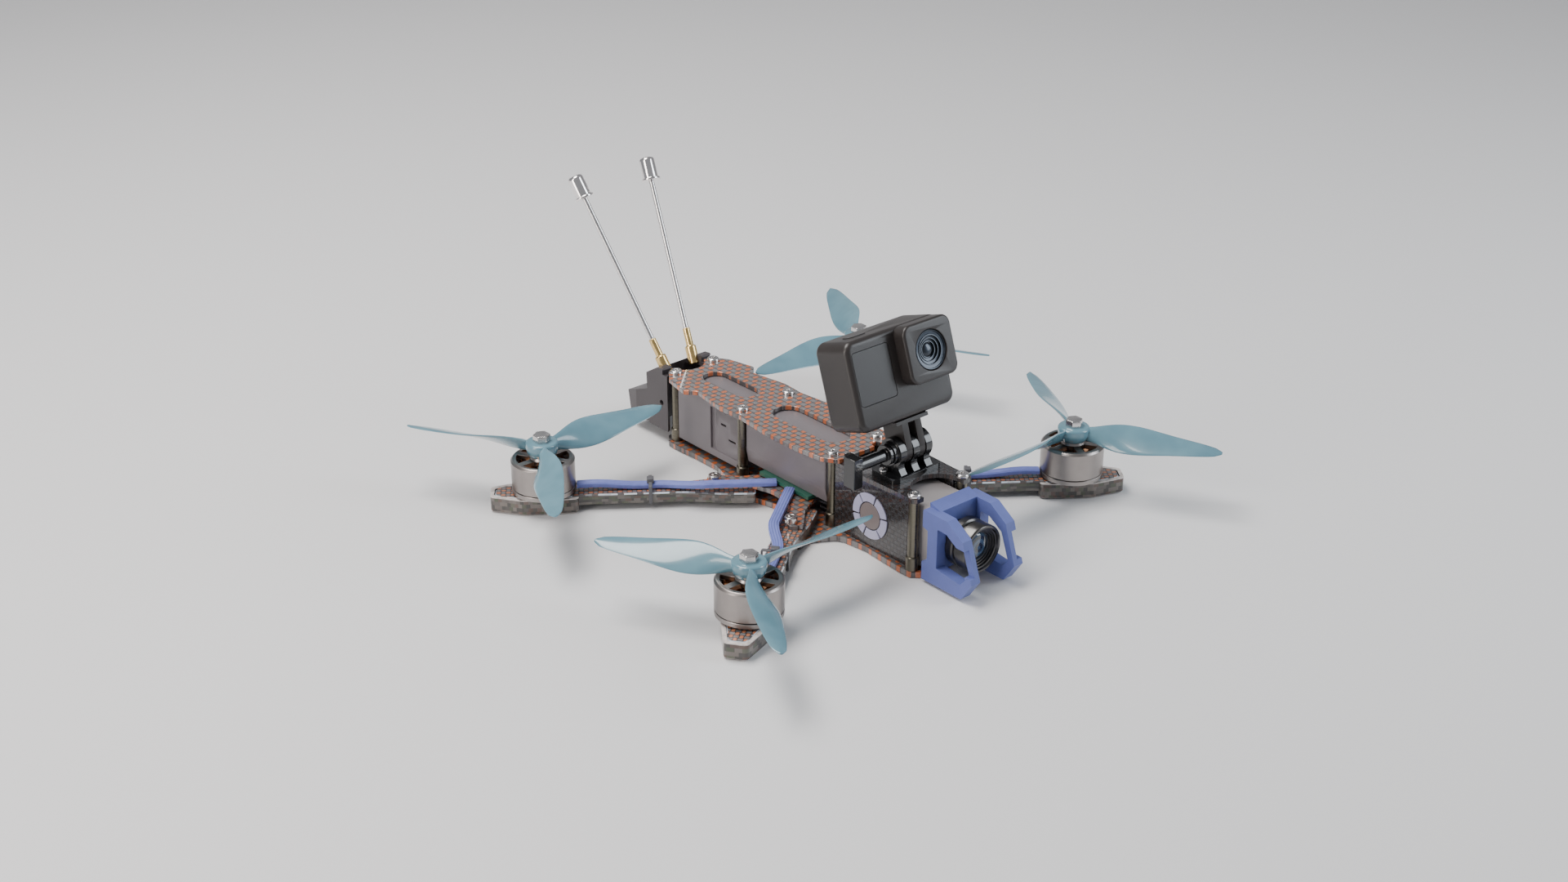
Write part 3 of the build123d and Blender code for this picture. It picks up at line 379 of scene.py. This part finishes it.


# ---- arms ----
# Four arms cut from thick carbon laminate. Their cut sides show the stacked plies as a chequered band, and
# the edges are rounded and lacquered. A pale blue highlight is painted along the top edge of each side.
arm_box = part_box("arm_rear_left")
motor_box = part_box("motor_base_rear_left")
motor_x = (motor_box[0].x + motor_box[1].x) / 2
motor_y = (motor_box[0].y + motor_box[1].y) / 2
arm_angle = math.atan2(motor_y, motor_x)
arm_top = arm_box[1].z / mm
arm_tow = 2.1
arm_block = 2.8
arm_ply = 1.2
highlight_band_depth = 0.75
lacquer_depth = 0.06


def along_arm(finish):
    """Distances along, across and up an arm, in millimetres; the four corners mirror each other."""
    x, y, z = finish.place()
    along = abs(x) * math.cos(arm_angle) + abs(y) * math.sin(arm_angle)
    across = abs(y) * math.cos(arm_angle) - abs(x) * math.sin(arm_angle)
    return along, across, z


def ply_stack(finish, along, height, block, ply):
    """A brick pattern of cut tow ends: each ply shifts by half a block, and each block has its own tone."""
    row = (height / ply).floor()
    column = (along / block + row * 0.5).floor()
    return finish.scatter(row, column, 0.0)


def cut_plies(finish, along, height, block, ply, dark, pale):
    """Cut laminate: mostly dark tow ends, a few of them pale, and a few painted with a brown or green
    reflection.
    """
    tone = ply_stack(finish, along, height, block, ply)
    reflection_tint = ply_stack(finish, along + 97.0, height, block, ply)
    reflected_tone = finish.mix(reflection_tint, (0.10, 0.045, 0.032), (0.055, 0.075, 0.035))
    base = finish.mix(tone.smooth(0.2, 0.95), dark, pale)
    return finish.mix((reflection_tint - 0.5).math("ABSOLUTE").smooth(0.34, 0.4) * 0.7, base, reflected_tone), tone


def arm_carbon():
    finish = Finish("arm_carbon", (0.12, 0.11, 0.11), Coat_Weight=1.0, Coat_Roughness=0.06, Metallic=0.15)
    along, across, z = along_arm(finish)
    warp, crown, painted_glint = weave(along, across, arm_tow)
    # The top's warp floats are painted lighter than its weft, and the weft carries a painted orange glint:
    # both stand for light the weave reflects.
    top = finish.mix(crown, (0.02, 0.018, 0.018), finish.mix(
        warp, finish.mix(painted_glint, (0.10, 0.09, 0.09), (0.55, 0.20, 0.10)), (0.20, 0.19, 0.19)))
    side, tone = cut_plies(finish, along, z, arm_block, arm_ply, (0.030, 0.027, 0.024), (0.13, 0.115, 0.10))
    # A painted pale blue highlight along the top edge of each side, switched on and off block by block.
    level = finish.scatter((along / arm_block).floor(), 5.0, 0.0)
    edge_highlight = finish.mix(level.smooth(0.3, 0.7), (0.10, 0.09, 0.09), (0.70, 0.78, 0.86))
    on_highlight_band = z.smooth(arm_top - highlight_band_depth, arm_top - highlight_band_depth + 0.15)
    on_top = z > (arm_top - lacquer_depth)
    colour = finish.mix(on_top, finish.mix(on_highlight_band, side, edge_highlight), top)
    return finish.feed(crown * on_top, 0.03, Base_Color=colour, Roughness=0.30 + 0.08 * tone)


arm_material = arm_carbon()
for corner in corners:
    softened(f"arm_{corner}", arm_material, 0.3)


# ---- arm guards ----
# A moulded cup round the end of each arm, filled with carbon, with a pale highlight painted patchily along
# its upper and lower edges. It takes the knocks when the drone lands.
def guard_shell():
    finish = Finish("guard_shell", (0.08, 0.07, 0.06), Coat_Weight=0.9, Coat_Roughness=0.10)
    along, across, z = along_arm(finish)
    side, tone = cut_plies(
        finish, along + across * 0.6, z, 1.9, 1.8, (0.035, 0.030, 0.026), (0.15, 0.125, 0.11))
    # A painted pale highlight along the upper and lower chamfers, made patchy by the wear noise, which also
    # varies the roughness.
    rim_highlight = z.smooth(6.75, 7.15) + (1.0 - z.smooth(0.15, 0.7))
    wear_and_glint = finish.noise(2.5, 4.0).smooth(0.25, 0.6)
    colour = finish.mix(rim_highlight * (0.5 + 0.5 * wear_and_glint), side, (0.70, 0.64, 0.61))
    return finish.feed(tone, 0.03, Base_Color=colour, Roughness=0.30 + 0.1 * wear_and_glint)


guard_material = guard_shell()
for corner in corners:
    softened(f"arm_guard_{corner}", guard_material, 0.35)


# ---- motors ----
# Turned aluminium bells with six windows round the top, over copper-wound stators. Fine turning marks
# ring the bells, and the base is the same alloy.
def turned_alloy():
    finish = Finish("turned_alloy", (0.33, 0.30, 0.285), Metallic=1.0)
    height = finish.place()[2]
    marks = (height * 21.0).sine() * 0.5 + 0.5
    cloud = finish.noise(6.0, 3.0)
    tone = marks * 0.35 + cloud * 0.65
    return finish.feed(marks, 0.004, Base_Color=finish.shade(tone, 0.22), Roughness=0.24 + 0.14 * cloud)


wire_width = 0.55


def copper_wire():
    """Round turns of wire: the height is a half circle across each turn, counted up the coil, and the colour
    is painted dark in the dips between turns as shade and bright on their crowns as highlight.
    """
    finish = Finish("copper_wire", (0.80, 0.36, 0.16), Metallic=1.0)
    height = finish.place()[2]
    turn = (height / wire_width).fract() - 0.5
    turn_height_and_shade = 1.0 - abs(turn) * 2.0
    colour = finish.mix(turn_height_and_shade, (0.22, 0.07, 0.03), (0.95, 0.50, 0.24))
    return finish.feed(turn_height_and_shade, 0.12, Base_Color=colour, Roughness=0.3 - 0.05 * turn_height_and_shade)


bell_material = turned_alloy()
copper_material = copper_wire()
for corner in corners:
    softened(f"motor_bell_{corner}", bell_material, 0.18)
    softened(f"motor_base_{corner}", bell_material, 0.15)
softened("stators", copper_material, 0)


# ---- propellers ----
# Three-blade propellers moulded in teal-grey polycarbonate, thick at the root and thin at the tip, with
# more twist near the hub. A steel hexagon nut holds each one down on its motor's shaft.
def shell(name, grid, material, node, flat=35.0):
    """A mesh from rows of points: row to row and round each row, with every row's ends joined."""
    rows, count = grid.shape[:2]
    row, column = np.meshgrid(np.arange(rows - 1), np.arange(count), indexing="ij")
    following = (column + 1) % count
    faces = np.stack([
        row * count + column, row * count + following,
        (row + 1) * count + following, (row + 1) * count + column], -1).reshape(-1, 4)
    mesh = bpy.data.meshes.new(name)
    mesh.from_pydata((grid.reshape(-1, 3) * mm).tolist(), [], faces.tolist())
    chart = mesh.uv_layers.new(name="along")
    turn = np.stack([column, column + 1, column + 1, column], -1) / count
    reach = np.stack([row, row, row + 1, row + 1], -1) / (rows - 1)
    chart.data.foreach_set("uv", np.stack([turn, reach], -1).astype(np.float32).ravel())
    work = bmesh.new()
    work.from_mesh(mesh)
    bmesh.ops.remove_doubles(work, verts=work.verts, dist=0.0005 * mm)
    bmesh.ops.recalc_face_normals(work, faces=work.faces)
    work.to_mesh(mesh)
    work.free()
    mesh.shade_smooth()
    mesh.set_sharp_from_angle(angle=math.radians(flat))
    mesh.materials.append(material)
    piece = bpy.data.objects.new(name, mesh)
    bpy.context.scene.collection.objects.link(piece)
    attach(piece, body_of[node])
    return piece


def lathe(profile, count=64, sides=0):
    """A profile of (radius, height) carried round the Z axis; with sides, round a regular polygon.

    On a polygon the radius is the half width across the flats, over the cosine of the angle from the
    middle of the nearest flat."""
    angle = np.arange(count) * 2 * math.pi / count
    stretch = np.ones(count)
    if sides:
        step = 2 * math.pi / sides
        stretch = 1 / np.cos((angle + step / 2) % step - step / 2)
    radius, height = np.array(profile, float).T
    return np.stack([
        radius[:, None] * stretch * np.cos(angle), radius[:, None] * stretch * np.sin(angle),
        np.tile(height[:, None], (1, count))], -1)


def blade(reach, height, pitch, angle, rows=44, count=28):
    """One blade. A point is at share s of the radius and turns t round the section.

    The section is chord(s) wide, with chord and thickness from smooth curves through the moulded sizes.
    It is half the thickness times sin t thick, bowed upwards by a quarter of it times sin squared t, and
    tilted by the angle whose tangent is the pitch over the circumference at that radius."""
    known = np.array([0.085, 0.16, 0.25, 0.37, 0.50, 0.65, 0.80, 0.92, 1.0])
    chords = np.array([6.2, 8.0, 11.6, 14.4, 14.2, 12.0, 9.4, 6.8, 3.6])
    depths = np.array([2.6, 2.2, 1.9, 1.7, 1.5, 1.3, 1.1, 0.95, 0.8])
    share = known[0] + (1 - known[0]) * np.sin(np.linspace(0, math.pi / 2, rows)) ** 1.15
    chord = np.polyval(np.polyfit(known, chords, 6), share)
    chord *= np.clip((1.004 - share) / 0.05, 0.0025, 1) ** 0.4
    depth = np.interp(share, known, depths)
    radius = share * reach
    tilt = np.arctan(pitch / (2 * math.pi * radius))
    t = np.arange(count) * 2 * math.pi / count
    across = chord[:, None] / 2 * np.cos(t)
    lift = depth[:, None] * (0.22 * np.sin(t) ** 2 + 0.45 * np.sin(t))
    side = -across * np.cos(tilt)[:, None] + lift * np.sin(tilt)[:, None]
    up = across * np.sin(tilt)[:, None] + lift * np.cos(tilt)[:, None]
    out = np.tile(radius[:, None], (1, count))
    grid = np.stack([
        out * math.cos(angle) - side * math.sin(angle),
        out * math.sin(angle) + side * math.cos(angle), height + up], -1)
    ends = grid[[0, -1]].mean(1, keepdims=True).repeat(count, 1)
    return np.concatenate([ends[:1], grid, ends[1:]])


def prop_plastic():
    finish = Finish(
        "prop_plastic", (0.13, 0.27, 0.33), Transmission_Weight=0.05, IOR=1.5, Coat_Weight=0.6,
        Coat_Roughness=0.08)
    cloud = finish.noise(16.0, 2.0)
    flow = finish.noise(0.7, 2.0)
    colour = finish.mix(cloud.smooth(0.2, 0.8), (0.10, 0.22, 0.28), (0.15, 0.30, 0.37))
    return finish.feed(flow, 0.001, Base_Color=colour, Roughness=0.20 + 0.06 * flow)


prop_material = prop_plastic()
nut_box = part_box("prop_nut_rear_left")
nut_low = nut_box[0].z / mm
nut_high = nut_box[1].z / mm
nut_half = 3.3
hub_height = 6.3
prop_low = nut_low - hub_height
prop_reach = 64.8
prop_pitch = 114.0
hub_side = [
    (2.6, 0.0), (5.6, 0.0), (6.5, 1.2), (7.0, 3.0), (7.0, -0.9), (6.75, -0.35), (6.2, 0.0), (2.6, 0.0),
]
hub_profile = [(r, prop_low + z if index < 4 else nut_low + z) for index, (r, z) in enumerate(hub_side)]
hub_profile.append(hub_profile[0])
nut_profile = [
    (0, nut_low), (nut_half, nut_low), (nut_half, nut_high - 0.35), (nut_half - 0.12, nut_high - 0.12),
    (nut_half - 0.35, nut_high), (0, nut_high),
]
blade_turns = [math.radians(turn) for turn in (60, 180, 300)]
corner_signs = {"front_right": (-1, -1), "front_left": (1, -1), "rear_right": (-1, 1), "rear_left": (1, 1)}
motor_place = np.array([motor_x / mm, motor_y / mm, 0.0])


def in_corner(grid, corner):
    """A grid made about the Z axis, moved to the rear-left motor and mirrored into a corner."""
    return (grid + motor_place) * np.array([*corner_signs[corner], 1.0])


for corner in corners:
    node = f"propeller_{corner}"
    hub = shell(f"hub_{corner}", in_corner(lathe(hub_profile), corner), prop_material, node)
    blade_pieces = [
        shell(
            f"blade_{corner}_{index}",
            in_corner(blade(prop_reach, prop_low + hub_height / 2, prop_pitch, turn), corner),
            prop_material, node, 60.0)
        for index, turn in enumerate(blade_turns)]
    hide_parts(node)
    for piece in blade_pieces:
        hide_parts(node)
    nut_node = f"prop_nut_{corner}"
    nut = shell(f"nut_{corner}", in_corner(lathe(nut_profile, 72, 6), corner), steel_metal, nut_node)
    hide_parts(nut_node)


# ---- motor leads ----
# A flat ribbed lead from each motor runs down its arm to the controller, in soft periwinkle silicone, and
# a moulded tie holds it to the arm.
motor_reach = math.hypot(motor_x, motor_y) / mm
lead_inner_end = 15.0
lead_outer_gap = 14.25
lead_sidestep = -5.6
sidestep_start = 66.0
sidestep_length = 20.0


def lead_ribbon(width=4.6, thickness=2.6, rows=120, count=60):
    """The rear-left lead. A ribbed outline is carried along the arm, sideways and up by smooth steps.

    Turn t round the outline is half the width times cos t across, and half the thickness times the root
    of sin t high, less a groove at each zero of a cosine across the ribbon."""
    along = np.linspace(motor_reach - lead_outer_gap, lead_inner_end, rows)
    ease = np.clip((sidestep_start - along) / sidestep_length, 0, 1)
    sideways = lead_sidestep * ease * ease * (3 - 2 * ease)
    stops = [8.0, 48.0, 62.0, 78.0, 92.0, 97.0, motor_reach]
    heights = [9.45, 9.45, 7.35, 7.35, 8.9, 8.7, 7.9]
    span = np.linspace(-5, 5, 41)
    level = np.interp(along[:, None] + span, stops, heights).mean(1) + thickness / 2
    t = np.arange(count) * 2 * math.pi / count
    across = width / 2 * np.cos(t)
    groove = 0.70 + 0.30 * np.abs(np.cos(across * 4 * math.pi / width)) ** 0.6
    high = thickness / 2 * np.sign(np.sin(t)) * np.abs(np.sin(t)) ** 0.35 * groove
    slope = np.gradient(sideways, along)[:, None]
    length = np.sqrt(1 + slope ** 2)
    a = along[:, None] - across * slope / length
    b = sideways[:, None] + across / length
    turn = np.array([math.cos(arm_angle), math.sin(arm_angle)])
    grid = np.stack([
        a * turn[0] - b * turn[1], a * turn[1] + b * turn[0], level[:, None] + np.tile(high, (rows, 1))], -1)
    ends = grid[[0, -1]].mean(1, keepdims=True).repeat(count, 1)
    return np.concatenate([ends[:1], grid, ends[1:]])


def lead_rubber():
    finish = Finish("lead_rubber", (0.17, 0.21, 0.58), Sheen_Weight=0.2)
    dust = finish.noise(3.0, 4.0)
    skin = finish.noise(0.3, 3.0)
    colour = finish.mix(dust, (0.09, 0.115, 0.38), (0.17, 0.21, 0.58))
    return finish.feed(skin, 0.01, Base_Color=colour, Roughness=0.42 + 0.15 * dust)


def plain_plastic(name, colour, grain, depth, rough, variation=0.1, **constants):
    """Moulded plastic: a fine skin texture and a slow drift in tone."""
    finish = Finish(name, colour, **constants)
    skin = finish.noise(grain, 5.0)
    drift = finish.noise(grain * 22, 2.0)
    return finish.feed(
        skin, depth, Base_Color=finish.shade(drift, variation), Roughness=rough - 0.05 + 0.1 * skin)


lead_material = lead_rubber()
ribbon = lead_ribbon()
for corner in corners:
    mirrored = ribbon * np.array([*corner_signs[corner], 1.0])
    lead = shell(f"lead_{corner}", mirrored, lead_material, "motor_leads", 60.0)
    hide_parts("motor_leads")
softened("lead_ties", plain_plastic("dark_tie", (0.10, 0.10, 0.11), 0.4, 0.02, 0.35), 0.2)


# ---- casings and boards ----
# Grey satin mouldings house the flight stack and the transmitter between the plates, in the nose case's pale
# grey painted darker as the shade they lie in. The boards inside are green laminate, and a dark finned sink
# stands at the front.
pale_casing = plain_plastic("pale_casing", (0.165, 0.148, 0.158), 0.35, 0.02, 0.36, 0.08)
board_laminate = plain_plastic("board_laminate", (0.03, 0.13, 0.09), 0.8, 0.02, 0.3, 0.2, Coat_Weight=0.6)
sink_metal = plain_plastic("sink_metal", (0.18, 0.17, 0.18), 0.4, 0.01, 0.32, 0.15, Metallic=1.0)
for casing in ("stack_cover", "video_transmitter"):
    softened(casing, pale_casing, 0.3)
for board in ("flight_controller", "speed_controller"):
    softened(board, board_laminate, 0.1)
softened("heat_sink", sink_metal, 0.15)


# ---- nose camera ----
# The flight camera's pale case looks out through a blue printed guard with two open cheeks. Its lens is a
# dark anodised tube with a wide grip ring, and a coated front glass.
nose_casing = plain_plastic("nose_casing", (0.36, 0.335, 0.335), 0.35, 0.02, 0.40, 0.06)
softened("flight_camera_case", nose_casing, 0.3)


def lens_metal(name, colour):
    """Dark anodised metal, a little worn."""
    finish = Finish(name, colour, Metallic=1.0, Coat_Weight=0.4, Coat_Roughness=0.1)
    wear = finish.noise(2.5, 3.0)
    return finish.feed(Base_Color=finish.shade(wear, 0.25), Roughness=0.26 + 0.12 * wear)


def coated_glass(name):
    """A dark lens with blue reflections of its coatings painted into its colour, in rings towards its rim."""
    finish = Finish(name, (0.02, 0.03, 0.05), Coat_Weight=1.0, Coat_Roughness=0.02, IOR=1.5)
    reach = finish.surface()[1]
    # Rings of painted blue reflection across the glass.
    reflection_tint = (reach * 14.0).sine() * 0.5 + 0.5
    colour = finish.mix(reflection_tint, (0.008, 0.010, 0.014), (0.05, 0.09, 0.15))
    return finish.feed(Base_Color=colour, Roughness=0.04 + 0.05 * reflection_tint)


def facing_nose(grid, centre):
    """A lathe's Z axis turned to point along -Y, about a centre (x, y, z)."""
    x, y, z = np.moveaxis(grid, -1, 0)
    return np.stack([x + centre[0], centre[1] - z, y + centre[2]], -1)


lens_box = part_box("flight_lens_barrel")
lens_front = lens_box[0].y / mm
lens_centre = (0.0, lens_front, (lens_box[0].z + lens_box[1].z) / 2 / mm)
barrel_profile = [
    (0, -23.4), (8.15, -23.4), (8.15, -11.6), (10.2, -11.3), (10.55, -10.9), (10.55, -7.9), (10.2, -7.5),
    (9.4, -7.2), (9.4, -6.4), (10.1, -6.1), (10.55, -5.6), (10.55, -0.7), (10.4, -0.25), (10.1, 0),
    (9.3, 0), (9.1, -0.25), (8.9, -0.9), (8.3, -1.1), (8.2, -1.9), (7.6, -2.0), (7.5, -2.6), (6.9, -2.7),
    (6.7, -3.3), (6.3, -3.4), (0, -3.4),
]
glass_curve = np.linspace(0, 1, 14)
glass_radius = 6.2
glass_bulge = 1.3
glass_profile = [(0, -3.5)] + [
    (glass_radius * share, -3.45 + glass_bulge * math.sqrt(1 - share ** 2)) for share in glass_curve[::-1]]
barrel = shell(
    "lens_barrel", facing_nose(lathe(barrel_profile, 96), lens_centre),
    lens_metal("lens_tube", (0.085, 0.082, 0.080)), "flight_lens_barrel")
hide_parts("flight_lens_barrel")
front_glass = shell(
    "lens_front_glass", facing_nose(lathe(glass_profile, 64), lens_centre), coated_glass("front_glass"),
    "flight_lens_glass")
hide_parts("flight_lens_glass")


print_layer = 0.3


def printed_blue():
    """Printed soft plastic: thin level layers, each a rounded ridge."""
    finish = Finish("printed_blue", (0.095, 0.125, 0.37), Sheen_Weight=0.1)
    height = finish.place()[2]
    layer = 1.0 - abs((height / print_layer).fract() - 0.5) * 2.0
    cloud = finish.noise(5.0, 3.0)
    return finish.feed(
        layer, 0.02, Base_Color=finish.shade(cloud, 0.10), Roughness=0.50 + 0.1 * cloud)


softened("camera_guard", printed_blue(), 0.3)

ring_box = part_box("ring_lights")
middle_y = (ring_box[0].y + ring_box[1].y) / 2 / mm
middle_z = (ring_box[0].z + ring_box[1].z) / 2 / mm
light_hub_radius = 6.15


def frosted_light():
    """Pale segments with a warm grey hub, told apart by distance from the ring's middle."""
    finish = Finish("frosted_light", (0.42, 0.41, 0.58), Coat_Weight=0.2)
    y, z = finish.place()[1:]
    reach = ((y - middle_y) ** 2.0 + (z - middle_z) ** 2.0).math("SQRT")
    frost = finish.noise(0.6, 4.0)
    pale = finish.mix(frost, (0.38, 0.37, 0.53), (0.46, 0.45, 0.62))
    hub = finish.mix(frost, (0.17, 0.14, 0.14), (0.21, 0.175, 0.17))
    colour = finish.mix(reach > light_hub_radius, hub, pale)
    return finish.feed(frost, 0.01, Base_Color=colour, Roughness=0.32 + 0.08 * frost)


softened("ring_lights", frosted_light(), 0.12)


# ---- tail ----
# A dark printed block closes the tail and holds the two antennas: brass connectors, bright tubes and
# polished caps.
softened("antenna_mount", plain_plastic("tail_print", (0.055, 0.048, 0.052), 0.5, 0.03, 0.42, 0.15), 0.35)


def brass_metal():
    finish = Finish("turned_brass", (0.78, 0.56, 0.24), Metallic=1.0)
    cloud = finish.noise(2.0, 4.0)
    return finish.feed(cloud, 0.006, Base_Color=finish.shade(cloud, 0.18), Roughness=0.16 + 0.16 * cloud)


softened("antenna_connectors", brass_metal(), 0.12)
softened("antenna_rods", steel_metal, 0.1)
chrome = Finish("cap_chrome", (0.86, 0.83, 0.82), Metallic=1.0)
smear = chrome.noise(4.0, 3.0)
softened("antenna_caps", chrome.feed(
    smear, 0.004, Base_Color=chrome.shade(smear, 0.08), Roughness=0.06 + 0.12 * smear), 0.15)


# ---- camera mount ----
# A glossy black three-prong mount on the nose deck, with a clamp screw through it that carries a long
# turned knob.
gloss_black = plain_plastic("gloss_black", (0.010, 0.010, 0.011), 1.2, 0.005, 0.20, 0.2, Coat_Weight=0.5)
softened("camera_mount", gloss_black, 0.35)
softened("thumb_screw", gloss_black, 0.2)


# ---- action camera ----
# A compact rubber-skinned camera, tilted back on its folding fingers. The lens stands out in a square
# block, beside a flat front screen.
skin = plain_plastic("camera_skin", (0.024, 0.020, 0.019), 0.30, 0.02, 0.36, 0.10)
softened("action_camera_case", skin, 0.12)
softened("action_lens_housing", skin, 0.3)
softened("camera_fingers", skin, 0.3)
screen = plain_plastic("screen_cover", (0.022, 0.020, 0.020), 2.0, 0.002, 0.34, 0.05)
softened("action_front_screen", screen, 0.1)
softened("action_rear_screen", screen, 0.1)
button_material = plain_plastic("button_cap", (0.028, 0.026, 0.026), 0.3, 0.02, 0.36, 0.1)
softened("shutter_button", button_material, 0.12)
softened("mode_button", button_material, 0.12)
lens_profile = [
    (0, -3.7), (5.9, -3.7), (5.9, -1.6), (8.25, -1.55), (8.25, -0.55), (8.0, -0.4), (7.75, -0.45),
    (7.6, -0.85), (6.4, -0.95), (6.25, -0.65), (5.95, -0.65), (5.8, -1.5), (5.0, -1.6), (4.9, -1.3),
    (4.6, -1.3),
    (4.45, -2.2), (3.75, -2.3), (3.65, -2.0), (3.4, -2.0), (3.25, -2.7), (3.0, -2.7), (2.6, -2.35),
    (2.0, -2.1), (1.2, -1.95), (0.5, -1.9), (0, -1.88),
]
joints = frame["record"]["behaviour"]["joints"]
pivot = Vector(next(joint["pos_m"] for joint in joints if joint["name"] == "camera_tilt")) / mm
lens_from_pivot = (11.8, -13.7, 37.9)
tilt = math.radians(-19.0)
tilt_rows = np.array([[1, 0, 0], [0, math.cos(tilt), -math.sin(tilt)], [0, math.sin(tilt), math.cos(tilt)]])
rings = facing_nose(lathe(lens_profile, 96), lens_from_pivot) @ tilt_rows.T + np.array(pivot)
camera_lens = shell(
    "camera_lens_rings", rings, lens_metal("camera_rings", (0.040, 0.048, 0.060)), "action_lens_window")
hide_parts("action_lens_window")
